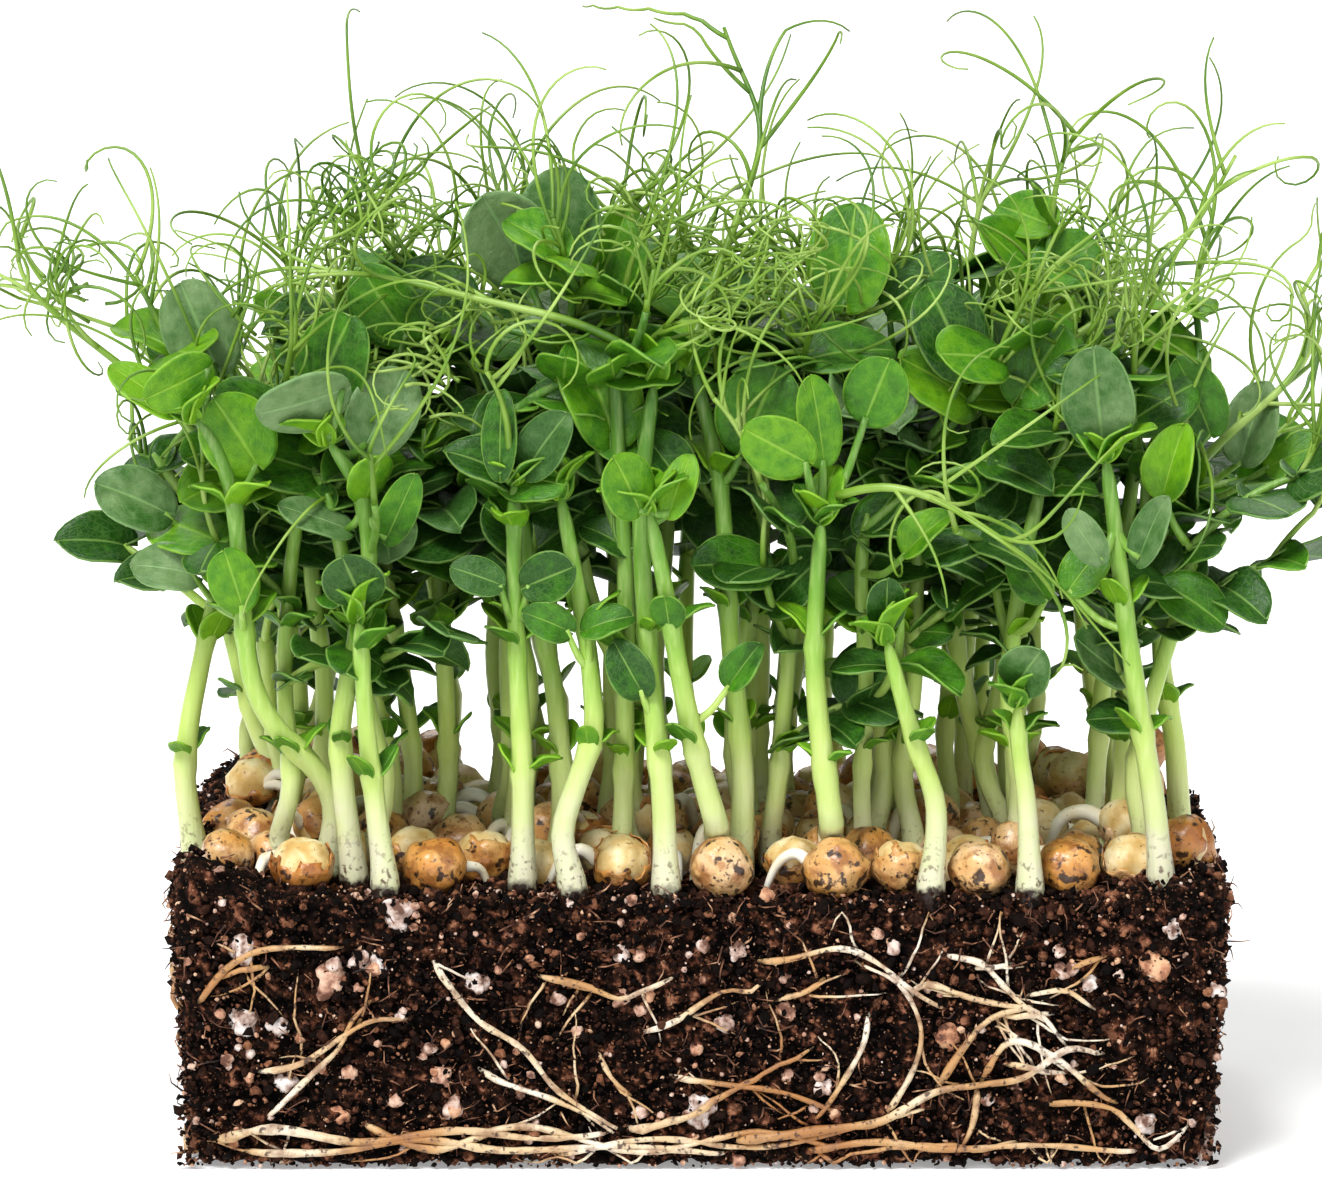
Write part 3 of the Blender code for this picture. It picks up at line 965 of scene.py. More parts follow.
# %% Lay the roots
FRONT_ROUTES = (
    # a half width, then x and height pairs, all in mm
    (0.55, (-68, 23), (-66, 26), (-63, 29), (-58, 31), (-48, 31)),
    (0.5, (-60, 13.5), (-54, 15), (-48, 19), (-44, 21), (-39, 21)),
    (0.45, (-59, 7), (-53, 13), (-49, 17), (-47, 21), (-44, 24)),
    (0.55, (-36, 29), (-34, 26), (-30, 21), (-24, 17), (-19, 11), (-10, 5)),
    (0.5, (-30, 14), (-26, 12), (-20, 10), (-14, 7), (-11, 4.5)),
    (0.5, (-22, 27), (-16, 26), (-11, 24), (-8, 25), (-3, 27)),
    (0.5, (-8, 19), (-3, 21), (3, 25), (7, 25), (9, 27)),
    (0.45, (-14, 17), (-12, 13), (-9, 10)),
    (0.45, (-4, 13), (4, 12), (11, 11), (19, 8)),
    (0.5, (8, 29), (12, 29.5), (19, 31), (24, 29), (29, 25), (34, 22)),
    (0.45, (23, 22), (22, 17), (18, 10), (15, 6)),
    (0.72, (4, 4), (19, 6), (25, 7), (32, 11), (38, 12), (44, 13), (50, 17), (55, 16)),
    (0.55, (32, 11), (35, 16), (38, 20), (41, 22), (46, 23)),
    (0.5, (28, 24), (31, 26), (37, 24), (42, 23), (46, 22), (50, 17)),
    (0.5, (33, 30), (38, 29), (41, 26), (44, 23), (48, 20)),
    (0.45, (44, 24), (47, 25), (50, 25), (54, 22)),
    (0.45, (49, 27), (52, 29), (56, 30)),
    (0.55, (38, 12), (42, 18), (48, 16), (54, 11), (57, 9)),
    (0.45, (25, 7), (29, 14), (30, 20), (27, 26), (21, 29)),
    (0.5, (38, 12), (37, 6), (35, 2)),
    (0.5, (47, 9), (51, 9.5), (56, 8.6), (59, 6), (62.5, 3), (67, 6.5)),
    (0.6, (14, 2.5), (24, 4), (34, 3), (46, 3.5), (60, 2.5)),
    (0.75, (-66, 4), (-58, 5.8), (-46, 4), (-33, 5.6), (-22, 4.5), (-12, 5.2)),
    (0.65, (-62, 2.5), (-50, 2.6), (-38, 4.4), (-26, 2.8), (-10, 3.4), (4, 2.2)),
    (0.55, (-46, 6.5), (-36, 3.0), (-24, 6.2), (-8, 2.6), (8, 5.4), (20, 2.6)),
    (0.5, (-20, 2.0), (-6, 4.4), (8, 3.2), (22, 6.2), (32, 9)),
)
MAT_ROOTS = {"right": 9, "back": 16, "left": 9, "front": 3}
WANDERING_ROOTS = {"right": 7, "back": 12, "left": 7, "front": 7}
ROOT_STEP = 1.3 * MM


def laid_on(face, line, radius):
    """Puts (along, height) pairs on a face. The root dives into the medium at both ends."""
    points = []
    for number, (along, height) in enumerate(line):
        from_end = min(number, len(line) - 1 - number)
        out = 0.45 * MM + 0.9 * radius - (1.2 * MM + radius) * (0.0, 0.45, 0.1)[min(from_end, 2)]
        if from_end == 0:
            out = -radius - 0.5 * MM
        out += 0.5 * MM * noise.noise(Vector((along, height, radius)) / (5 * MM))
        points.append(on_face(face, along, max(height, 1.3 * radius), out))
    return points


def knobbly(line, first, last):
    """Radii that taper unevenly, as a root's do, and end in points."""
    radii = []
    for number, (point, radius) in enumerate(zip(line, tapered(line, first, last))):
        from_end = min(number, len(line) - 1 - number)
        uneven = 1 + 0.45 * noise.noise(point / (2.6 * MM))
        radii.append(radius * uneven * (0.45, 0.85, 1.0)[min(from_end, 2)])
    return radii


def wandering(chance, along, height, heading, length):
    """A flat random route: (along, height) pairs that drift from a heading."""
    line = [(along, height)]
    for _ in range(round(length / ROOT_STEP)):
        heading += chance.gauss(0, 0.16)
        along += ROOT_STEP * math.cos(heading)
        height += ROOT_STEP * math.sin(heading)
        if not 1 * MM < height < HEIGHT - 2 * MM:
            heading = -heading
        height = min(max(height, 1 * MM), HEIGHT - 2 * MM)
        line.append((along, height))
    return line


def keep_on(line, half):
    return [(along, height) for along, height in line if abs(along) < half - 4 * MM]


def hairs_of(chance, face, line, count):
    """Fine side roots that leave a flat route."""
    hairs = []
    for _ in range(count):
        along, height = chance.choice(line)
        heading = chance.uniform(0, math.tau)
        hair = wandering(chance, along, height, heading, chance.uniform(4, 13) * MM)
        hair = keep_on(hair, FACES[face][3])
        if len(hair) > 2:
            points = laid_on(face, hair, 0.2 * MM)
            hairs.append((points, tapered(points, 0.24 * MM, 0.09 * MM)))
    return hairs


chance = random.Random(5)
roots = []
for radius, *route in FRONT_ROUTES:
    corners = [Vector((x * MM, height * MM, 0)) for x, height in route]
    flat = [(point.x, point.y) for point in smooth_line(corners, ROOT_STEP)]
    line = laid_on("front", flat, radius * MM)
    roots.append((line, knobbly(line, radius * MM, radius * MM * 0.62)))
    roots.extend(hairs_of(chance, "front", flat, 2))
for face, (_, _, _, half) in FACES.items():
    for number in range(MAT_ROOTS[face] + WANDERING_ROOTS[face]):
        in_mat = number < MAT_ROOTS[face]
        height = chance.uniform(1.5, 6) * MM if in_mat else chance.uniform(5, 33) * MM
        heading = chance.choice((0, math.pi)) + chance.gauss(0, 0.1 if in_mat else 0.6)
        length = chance.uniform(20, 60 if in_mat else 32) * MM
        if face == "front" and not in_mat:
            length *= 0.3
        flat = keep_on(wandering(chance, chance.uniform(-half, half), height, heading, length), half)
        if len(flat) > 4:
            line = laid_on(face, flat, 0.45 * MM)
            roots.append((line, knobbly(line, chance.uniform(0.4, 0.65) * MM, 0.28 * MM)))
            roots.extend(hairs_of(chance, face, flat, 3))
add_piece("roots", strand_mesh("roots", roots, 1), root_material, "root", *numbered["root"])
print("roots and root hairs:", len(roots))

# %% [markdown]
# ## Peas
# Each pea is a ball of two halves: a shallow groove marks where they meet, and soft dents
# keep it from looking turned. The seed coat is a second, slightly larger ball. Where a pea
# has split, a ragged part of the coat is deleted and its edge curls outwards, and the pale
# flesh shows. The coat gets its thickness afterwards.

# %% Model the peas
COAT_GAP = 0.16 * MM
COAT_THICKNESS = 0.14 * MM


def pea_body(seed, subdivisions):
    """The flesh of one pea, of radius 1."""
    shape = bmesh.new()
    bmesh.ops.create_icosphere(shape, subdivisions=subdivisions, radius=1.0)
    offset = Vector((3.1 * seed, 1.7 * seed, 0.5))
    for vertex in shape.verts:
        way = vertex.co.normalized()
        groove = 0.07 * math.exp(-((way.x / 0.1) ** 2)) * max(0.0, way.z + 0.3)
        dents = 0.12 * noise.noise(way * 1.4 + offset) + 0.06 * noise.noise(way * 3.2 + offset)
        dents += 0.02 * noise.noise(way * 7 + offset)
        vertex.co = way * (0.98 + dents - groove)
    bmesh.ops.scale(shape, vec=(1.0, 0.95, 0.91), verts=shape.verts)
    return shape


def pea_coat(seed, subdivisions, grow, opening):
    """The seed coat round it. opening is the part that has torn away, from 0 up to 1."""
    shape = pea_body(seed, subdivisions)
    offset = Vector((seed, 0.0, 7.0))
    torn = []
    for vertex in shape.verts:
        way = vertex.co.normalized()
        tear = 0.5 + 0.5 * way.z + 0.3 * noise.noise(way * 2.4 + offset)
        near = max(0.0, tear - (1.0 - opening) + 0.18)
        wrinkle = 0.014 * noise.noise(way * 6 + offset)
        vertex.co *= grow + wrinkle + 0.55 * near * (opening > 0)
        if opening > 0 and tear > 1.0 - opening:
            torn.append(vertex)
    bmesh.ops.delete(shape, geom=torn, context="VERTS")
    return shape


def pea_at(centre, radius, turn):
    return Matrix.Translation(centre) @ turn @ Matrix.Scale(radius, 4)


OPENINGS = (0, 0.3, 0, 0.36, 0.24, 0, 0.42, 0, 0.3, 0, 0, 0.36, 0)

chance = random.Random(3)
pea_spots = []
for number, name in enumerate(numbered["pea"]):
    low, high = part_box(name)
    centre = (low + high) / 2
    radius = (high.x - low.x) / 2 * 0.97
    opening = OPENINGS[number]
    turn = Matrix.Rotation(chance.uniform(-0.9, 0.9), 4, "X")
    turn = turn @ Matrix.Rotation(chance.uniform(0, 3), 4, "Z")
    flesh = to_mesh(name + "_flesh", pea_body(number, 4))
    flesh.transform(pea_at(centre, radius, turn))
    add_piece(name + "_flesh", flesh, flesh_material, "pea")
    coat = to_mesh(name, pea_coat(number, 4, 1 + COAT_GAP / radius, opening))
    coat.transform(pea_at(centre, radius, turn))
    tint = coat.attributes.new("shade", "FLOAT", "POINT")
    tint.data.foreach_set("value", [chance.uniform(0.1, 0.75)] * len(coat.vertices))
    skin = add_piece(name, coat, coat_material, "pea", name)
    wall = skin.modifiers.new("thickness", "SOLIDIFY")
    wall.thickness = COAT_THICKNESS
    pea_spots.append((centre, radius))
print("front peas:", len(pea_spots))

# %% [markdown]
# ## The rest of the peas
# Behind the front row the peas lie shoulder to shoulder, some of them on top of others. They
# are stamped from a few shapes. Random places are kept only where they clear the peas that
# are already there, which is called dart throwing.

# %% Scatter the other peas
PEA_TRIES = 2600
PEA_RADIUS = 4.3 * MM
PEA_FIELD_X = (-65, 66)
PEA_FIELD_Y = (-31, 39)
HIGHEST_HEAP = 3.5 * MM
TEMPLATE_OPENINGS = (0, 0.3, 0.42, 0, 0.36, 0.5)

flesh_templates = []
coat_templates = []
for seed, opening in enumerate(TEMPLATE_OPENINGS, 40):
    flesh_templates.append(to_mesh(f"flesh_{seed}", pea_body(seed, 3)))
    coat_templates.append(to_mesh(f"coat_{seed}", pea_coat(seed, 3, 1.045, opening)))

chance = random.Random(21)
flesh_copies = []
coat_copies = []
for _ in range(PEA_TRIES):
    x = chance.uniform(*PEA_FIELD_X) * MM
    y = chance.uniform(*PEA_FIELD_Y) * MM
    radius = PEA_RADIUS * chance.uniform(0.88, 1.08)
    lift = chance.choice((0, 0, 1.5, 3.5)) * MM
    if heap(x, y) > HIGHEST_HEAP:
        continue
    centre = Vector((x, y, HEIGHT + heap(x, y) + radius * 0.55 + lift))
    if any((centre - other).length < 0.93 * (radius + wide) for other, wide in pea_spots):
        continue
    pea_spots.append((centre, radius))
    kind = chance.randrange(len(coat_templates))
    matrix = pea_at(centre, radius, random_turn(chance))
    flesh_copies.append((flesh_templates[kind], matrix, 0.0))
    coat_copies.append((coat_templates[kind], matrix, chance.uniform(0.05, 0.9)))
add_copies("other_peas_flesh", flesh_copies, None, flesh_material, "pea")
coats = add_copies("other_peas", coat_copies, "shade", coat_material, "pea")
coats.modifiers.new("thickness", "SOLIDIFY").thickness = COAT_THICKNESS
print("other peas:", len(coat_copies))

# %% [markdown]
# ## White sprouts
# Most of the peas push out a thick white root or two. Such a root leaves the pea's side,
# arches over and dives into the medium, so the ground between the stems is full of short
# white hooks.


# %% Grow the white sprouts
def white_hook(chance, centre, radius):
    way = level_way(chance.uniform(0, math.tau))
    reach = chance.uniform(5, 9) * MM
    rise = chance.uniform(-0.5, 2.2) * MM
    start = centre + way * radius * 0.7
    points = [start, start + way * reach * 0.35 + UP * rise]
    points.append(start + way * reach * 0.75 + UP * (0.5 * rise - 1 * MM))
    foot = start + way * reach * 1.1
    foot.z = HEIGHT + heap(start.x, start.y) - 3 * MM
    points.append(foot)
    line = smooth_line(points, 0.8 * MM)
    return line, tapered(line, chance.uniform(0.8, 1.25) * MM, chance.uniform(0.25, 0.45) * MM)


def stays_on_top(line):
    """Whether a line keeps clear of the slab's border."""
    reach_x = WIDTH / 2 - 5 * MM
    reach_y = DEPTH / 2 - 4 * MM
    return all(abs(point.x) < reach_x and abs(point.y) < reach_y for point in line)


chance = random.Random(8)
hooks = []
for centre, radius in pea_spots:
    for _ in range(chance.choice((0, 1, 1, 2))):
        line, radii = white_hook(chance, centre, radius)
        if stays_on_top(line):
            hooks.append((line, radii))
add_strands("white_sprouts", hooks, 2, sprout_material, "root")
print("white sprouts:", len(hooks))

# %% [markdown]
# ## Leaf shapes
# A leaf starts as a flat square grid. A formula narrows it at both ends, sets the base back
# into a heart, folds it along the midrib, droops the tip and ripples the rim. The square's
# UVs stay, and carry the veins. Eight variants, stamped at many sizes and tilts, are enough
# for the whole crop. Leaves in front use a finer grid than those behind.

# %% Model the leaf templates
LEAF_THICKNESS = 0.32 * MM


def leaf_template(name, columns, rows, width, heart, fold, droop, ripple):
    """A leaf of length 1 that grows from the origin along +Y and faces +Z."""
    shape = bmesh.new()
    shape.loops.layers.uv.new("UVMap")
    bmesh.ops.create_grid(shape, x_segments=columns, y_segments=rows, size=1.0, calc_uvs=True)
    for vertex in shape.verts:
        side = vertex.co.x
        share = 0.5 - 0.5 * math.cos(math.pi * (vertex.co.y + 1) / 2)
        outline = 0.04 + 0.96 * math.sqrt(max(0.0, 1 - (2 * share**0.9 - 1) ** 2))
        across = side * outline * width / 2
        back = heart * abs(side) ** 1.5 * (1 - share) ** 3
        wave = ripple * side * side * math.sin(9 * share + 2 * side)
        lift = fold * abs(across) - droop * share * share + wave
        vertex.co = Vector((across, share - back, lift))
    return to_mesh(name, shape)


LEAF_VARIANTS = (
    # width, heart, fold, droop, ripple
    (0.80, 0.10, 0.12, 0.12, 0.015),
    (0.90, 0.16, 0.18, 0.22, 0.025),
    (0.98, 0.12, 0.06, 0.08, 0.02),
    (0.72, 0.06, 0.34, 0.32, 0.03),
    (0.88, 0.16, -0.10, 0.18, 0.03),
    (0.94, 0.18, 0.26, -0.10, 0.02),
    (0.70, 0.06, 0.65, 0.25, 0.04),
    (0.88, 0.20, 0.42, 0.40, 0.05),
)
fine_leaves = []
coarse_leaves = []
for number, values in enumerate(LEAF_VARIANTS):
    fine_leaves.append(leaf_template(f"fine_leaf_{number}", 12, 14, *values))
    coarse_leaves.append(leaf_template(f"coarse_leaf_{number}", 8, 10, *values))


def leaf_at(base, along, facing, size, width=1.0):
    """The matrix that puts a leaf at base, growing along, with its upper face to facing."""
    up_leaf = along.normalized()
    across = up_leaf.cross(facing).normalized()
    upper = across.cross(up_leaf)
    turn = Matrix((across * width, up_leaf, upper)).transposed().to_4x4()
    return Matrix.Translation(base) @ turn @ Matrix.Scale(size, 4)


def add_leaves(name, copies, *replaced):
    piece = add_piece(name, stamped(name, copies, "tone"), leaf_material, "leaf", *replaced)
    wall = piece.modifiers.new("thickness", "SOLIDIFY")
    wall.thickness = LEAF_THICKNESS
    wall.offset = 0.0
    return piece


print("leaf shapes:", len(LEAF_VARIANTS))

# %% [markdown]
# ## The front stems
# Each front stem follows the middle of its plain solid, and its foot bends inwards so that it
# doesn't come out of the slab's face. Its radius thins towards the tip and swells a little at
# the nodes, where small scale leaves clasp it. Folded young leaves close its tip.

# %% Model the front stems
STEM_FOOT_RADIUS = 1.85 * MM
STEM_TIP_RADIUS = 1.0 * MM
NODE_SPACING = 17 * MM
LOWEST_NODE = HEIGHT + 14 * MM
FOOT_TO_ROOT = Vector((0, 3.5, -2.0)) * MM


def stem_radii(line, foot, tip, nodes):
    radii = []
    for point, radius in zip(line, tapered(line, foot, tip)):
        swell = sum(math.exp(-(((point.z - level) / (1.3 * MM)) ** 2)) for level in nodes)
        heel = math.exp(-(((point.z - HEIGHT) / (4.0 * MM)) ** 2))
        radii.append(radius * (0.94 + 0.22 * swell + 0.24 * heel))
    radii[-2] *= 0.8
    radii[-1] *= 0.35
    return radii


def point_at(line, level):
    """The first point of a rising line that is at least at this height."""
    return next((point for point in line if point.z >= level), line[-1])


def bract_pair(chance, line, level, smallest):
    """Two small scale leaves that clasp a stem."""
    point = point_at(line, level)
    around = chance.uniform(0, math.tau)
    pair = []
    for turn in (0, math.pi * chance.uniform(0.6, 1.0)):
        out = level_way(around + turn)
        along = out * chance.uniform(0.5, 1.3) + UP
        facing = UP - out * 0.6
        size = smallest * chance.uniform(1.0, 1.5)
        matrix = leaf_at(point + out * 1.1 * MM, along, facing, size)
        pair.append((chance.choice(coarse_leaves), matrix, chance.uniform(0.0, 0.3)))
    return pair


def tip_bud(chance, line):
    """Young folded leaves that close round the tip of a stem."""
    up_stem = (line[-1] - line[-3]).normalized()
    bud = []
    for number in range(5):
        out = level_way(1.9 * number + chance.uniform(-0.3, 0.3))
        along = up_stem + out * chance.uniform(0.15, 0.9)
        size = chance.uniform(5.0, 8.5) * MM
        matrix = leaf_at(line[-1] - up_stem * 0.6 * MM, along, up_stem - out, size)
        bud.append((fine_leaves[3], matrix, chance.uniform(0.0, 0.35)))
    return bud


chance = random.Random(14)
front_stems = []
feet = []
for centre, radius in pea_spots[: len(numbered["pea"])]:
    feet.append((Vector((centre.x, centre.y, HEIGHT)), 0.9 * radius))
bracts = []
for name in numbered["stem"]:
    line = centreline(name, 2.0 * MM)
    feet.append((line[0], STEM_FOOT_RADIUS))
    line.insert(0, line[0] + FOOT_TO_ROOT)
    first_node = LOWEST_NODE + chance.uniform(0, 8) * MM
    nodes = [first_node + NODE_SPACING * step for step in range(4)]
    nodes = [level for level in nodes if level < line[-1].z - 4 * MM]
    radii = stem_radii(line, STEM_FOOT_RADIUS, STEM_TIP_RADIUS, nodes)
    add_strands(name, [(line, radii)], 3, stem_material, "stem", name)
    for number, level in enumerate(nodes):
        bracts.extend(bract_pair(chance, line, level, (3.2 + 0.8 * number) * MM))
    bracts.extend(tip_bud(chance, line))
    front_stems.append(line)
print("front stems:", len(front_stems))

# %% [markdown]
# ## Crumbs round the feet
# Nothing grows out of a clean hole: the medium is heaped a little round every stem and pea of
# the front row. Crumbs are set in a ring round each foot, most of them on the side that shows.

# %% Heap crumbs round the feet
CRUMBS_PER_FOOT = 22

chance = random.Random(19)
collars = []
for foot, radius in feet:
    for _ in range(CRUMBS_PER_FOOT):
        around = chance.gauss(-math.pi / 2, 1.3)
        reach = radius + chance.uniform(-0.2, 1.6) * MM
        x = foot.x + reach * math.cos(around)
        y = max(foot.y + reach * math.sin(around), -DEPTH / 2 + 0.6 * MM)
        size = chance.uniform(0.8, 2.3) * MM
        near_rim = max(0.0, 3 * MM - (y + DEPTH / 2))
        level = min(foot.z, HEIGHT + heap(x, y)) - 0.45 * near_rim
        spot = Vector((x, y, level + chance.uniform(-0.6, 0.5) * MM))
        matrix = Matrix.Translation(spot) @ random_turn(chance) @ Matrix.Scale(size, 4)
        template = chance.choice(crumb_templates)
        shade = min(1, max(0, chance.gauss(0.34, 0.2)))
        collars.append((template, matrix, shade))
add_copies("crumbs_round_feet", collars, "shade", crumb_material, "soil")
print("crumbs round the feet:", len(collars))

# %% [markdown]
# ## The front leaves
# A plain leaf solid gives its replacement a base, a direction, a width and the way it
# faces. These come from the solid's own spread: its longest direction is the leaf's length,
# and its shortest is its normal. A petiole then ties the leaf to the nearest stem.


# %% Model the front leaves
def spread_of(node_name):
    """The centre, and the directions of the longest and the shortest spread, of a solid."""
    points = [vertex.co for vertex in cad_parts[node_name].data.vertices]
    centre = sum(points, Vector()) / len(points)
    longest = max((a - centre for a in points), key=lambda away: away.length).normalized()
    sideways = [a - centre - (a - centre).dot(longest) * longest for a in points]
    widest = max(sideways, key=lambda away: away.length).normalized()
    return centre, longest, longest.cross(widest)


def reach_along(node_name, centre, way):
    spans = [(vertex.co - centre).dot(way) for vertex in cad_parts[node_name].data.vertices]
    return min(spans), max(spans)


def nearest_on(lines, place, below):
    """The closest point of some lines that is at least this far below a place."""
    points = [point for line in lines for point in line if point.z < place.z - below]
    return min(points, key=lambda point: (point - place).length)


def petiole(start, stop, first, last):
    middle = (start + stop) / 2 - UP * 0.12 * (stop - start).length
    line = smooth_line([start, middle, stop], 1.2 * MM)
    return line, tapered(line, first, last)


FRONT_TONES = (
    # one for each front leaf, from fresh to waxy
    *(0.05, 0.12, 0.95, 0.9, 0.35, 0.85, 0.55),
    *(0.4, 0.7, 0.15, 0.1, 0.15, 0.2, 0.25),
    *(0.8, 0.9, 0.85, 0.2, 0.75, 0.55, 0.15),
)

petioles = []
chance = random.Random(2)
for name, tone in zip(numbered["leaf"], FRONT_TONES):
    centre, along, facing = spread_of(name)
    low, high = reach_along(name, centre, along)
    joint = nearest_on(front_stems, centre, -1 * MM)
    if (centre + along * low - joint).length > (centre + along * high - joint).length:
        along = -along
        low, high = -high, -low
    if facing.y > 0:
        facing = -facing
    across = along.cross(facing)
    left, right = reach_along(name, centre, across)
    base = centre + along * low
    size = high - low
    template = chance.choice(fine_leaves[:3])
    matrix = leaf_at(base, along, facing, size, (right - left) / size / 0.9)
    add_leaves(name, [(template, matrix, tone)], name)
    petioles.append(petiole(joint, base, 0.75 * MM, 0.5 * MM))
print("front leaves:", len(numbered["leaf"]))

# %% [markdown]
# ## Tendrils
# A tendril sets out straight and curls more and more towards its tip. Stepping along it and
# turning the heading a little more at each step gives that curl. Near the plant's outline the
# heading is turned back. A fan is a stalk with a few such strands that leave it near its end.

# %% Helpers for tendrils
TENDRIL_STEP = 1.5 * MM
BENDS = (
    # the steady turn per step, and the extra turn at the tip
    (0.02, 0.15),
    (0.03, 0.6),
    (0.04, 0.3),
    (0.06, 0.2),
    (0.06, 0.9),
    (0.09, 0.1),
    (0.22, 0.2),
)
REACH_LOW = cad_box[0] - Vector((5, 2, 0)) * MM
REACH_HIGH = cad_box[1] + Vector((3, 4, 2)) * MM
TURN_BACK = 0.45
BRANCH_SHARES = (0.3, 0.42, 0.5, 0.6, 0.68, 0.76, 0.84, 0.92)


def tendril_line(chance, start, heading, length, curl, bend=0.05):
    """One strand. bend is its steady turn per step, and curl the extra turn at its tip."""
    heading = heading.normalized()
    axis = heading.cross(scattered(chance)).normalized()
    line = [start.copy()]
    steps = max(4, round(length / TENDRIL_STEP))
    for step in range(steps):
        share = step / steps
        heading = Quaternion(axis, bend + curl * share**2.5) @ heading
        axis = (axis + 0.09 * scattered(chance)).normalized()
        ahead = line[-1] + heading * 4 * TENDRIL_STEP
        for side in range(3):
            if ahead[side] > REACH_HIGH[side]:
                heading[side] -= TURN_BACK
            elif ahead[side] < REACH_LOW[side]:
                heading[side] += TURN_BACK
        heading.normalize()
        line.append(line[-1] + heading * TENDRIL_STEP)
    return line


def tendril_fan(chance, start, heading, stalk_length, strands, longest):
    """A stalk and its curling strands, as lines with radii."""
    stalk = tendril_line(chance, start, heading, stalk_length, 0.05)
    fan = [(stalk, tapered(stalk, 0.5 * MM, 0.34 * MM))]
    for number in range(strands):
        point = stalk[-1 - min(len(stalk) - 2, number)]
        spread = scattered(chance, 1, 0.8, 0.7, 0.2)
        way = (stalk[-1] - stalk[-3]).normalized() + 0.7 * spread
        length = longest * chance.uniform(0.25, 1.0)
        bend, curl = chance.choice(BENDS)
        line = tendril_line(chance, point, way, length, curl, bend)
        fan.append((line, tapered(line, 0.34 * MM, 0.13 * MM)))
    return fan


def branch_from(chance, line, share, longest):
    """A strand that leaves a line part of the way along."""
    index = min(len(line) - 2, max(1, round(share * len(line))))
    way = (line[index + 1] - line[index - 1]).normalized()
    spread = scattered(chance, 1, 0.8, 0.8, 0.3)
    length = longest * chance.uniform(0.5, 1.0)
    bend, curl = chance.choice(BENDS)
    strand = tendril_line(chance, line[index], way + 0.6 * spread, length, curl, bend)
    return strand, tapered(strand, 0.36 * MM, 0.13 * MM)


chance = random.Random(31)
for name in numbered["tendril"]:
    line = smooth_line(centreline(name, 3 * MM), 1.5 * MM)
    strands = [(line, tapered(line, 0.75 * MM, 0.28 * MM))]
    for share in BRANCH_SHARES:
        strands.append(branch_from(chance, line, share, 30 * MM))
    add_strands(name, strands, 1, tendril_material, "tendril", name)
print("front tendrils:", len(numbered["tendril"]))

# %% [markdown]
# ## Tangles
# Where the tendrils of neighbours meet they grip each other, and fine curls pile up into
# light, feathery tangles. Each tangle is a cloud of tightly bent strands round one place.

# %% Knot the tangles
TANGLES = (
    # x, y and z of the middle, and the reach, in mm, then the number of strands
    (-47, -18, 126, 7, 34),
    (-42, -24, 132, 5, 14),
    (-56, -24, 112, 7, 22),
    (-34, -30, 110, 7, 26),
    (-86, -22, 119, 5, 22),
    (6, -26, 118, 8, 36),
    (14, -22, 124, 6, 24),
    (-8, -22, 128, 5, 14),
    (46, -24, 112, 7, 24),
    (60, -20, 116, 6, 16),
)

chance = random.Random(52)
curls = []
for x, y, z, reach, strands in TANGLES:
    for _ in range(strands):
        start = Vector((x, y, z)) * MM + scattered(chance, 0.5, 0.5, 0.4) * reach * MM
        way = scattered(chance, 1, 0.6, 0.6, 0.4)
        length = chance.uniform(9, 24) * MM
        line = tendril_line(chance, start, way, length, 0.5, chance.uniform(0.08, 0.34))
        curls.append((line, tapered(line, 0.3 * MM, 0.11 * MM)))
add_strands("tangles", curls, 1, tendril_material, "tendril")
print("strands in tangles:", len(curls))

# %% [markdown]
# ## The shoots behind
# Sixty more shoots stand behind the front row. Seven rows have their feet near even places,
# and an eighth group of five fills gaps. Each shoot is a stem that leans and bends a little,
# with scale leaves low down and three leafy nodes near its tip. A leafy node bears a pair of
# clasping leaves and a stalk with four more leaves, and the upper two end in a fan of
# tendrils. Lower leaves get painted shade: their tone is pushed towards a dark green, the
# lower the more. All of one row's stems are one piece, and so are its leaves and its
# tendrils. A generator gives the places, one after another.

# %% Grow the shoots behind
ROWS = (
    # y of the row, how many shoots, and the height of their tips, in mm
    (-27, 8, 98),
    (-18, 8, 103),
    (-8, 8, 107),
    (2, 8, 108),
    (13, 8, 106),
    (24, 8, 103),
    (35, 7, 98),
)
GAP_FILLERS = (
    # x and y of the foot and the height of the tip, in mm
    (-34, -13, 98),
    (-28, 6, 103),
    (30, -22, 97),
    (34, 3, 103),
    (12, 8, 106),
)
LEAFY_NODES = (
    # how far below the tip, in mm, and the number of strands in its fan
    (27, 0),
    (15, 3),
    (3, 6),
)
ROW_SPAN = 132 * MM
CROWN_DROP = 12  # mm at the ends of a row
FRONT_LIMIT = -37 * MM
BACK_LIMIT = 43 * MM
SHOOT_TONES = (0.1, 0.2, 0.3, 0.4, 0.5, 0.85)
# Painted shade: the lower leaves' tone moves towards this dark green, fully at this depth below the
# tip.
PAINTED_SHADE_TONE = 0.52
PAINTED_SHADE_DEPTH = 32  # mm below the tip


def spots_in_row(chance, row_y, count, top):
    """The places of one row's shoots and the heights of their tips. Rows are lower outside."""
    for place in range(count):
        x = ROW_SPAN * ((place + 0.5) / count - 0.5) + chance.gauss(0, 2.5) * MM
        y = row_y * MM + chance.gauss(0, 2) * MM
        drop = CROWN_DROP * (x / ROW_SPAN * 2) ** 2
        yield x, y, (top - drop + chance.gauss(0, 5)) * MM


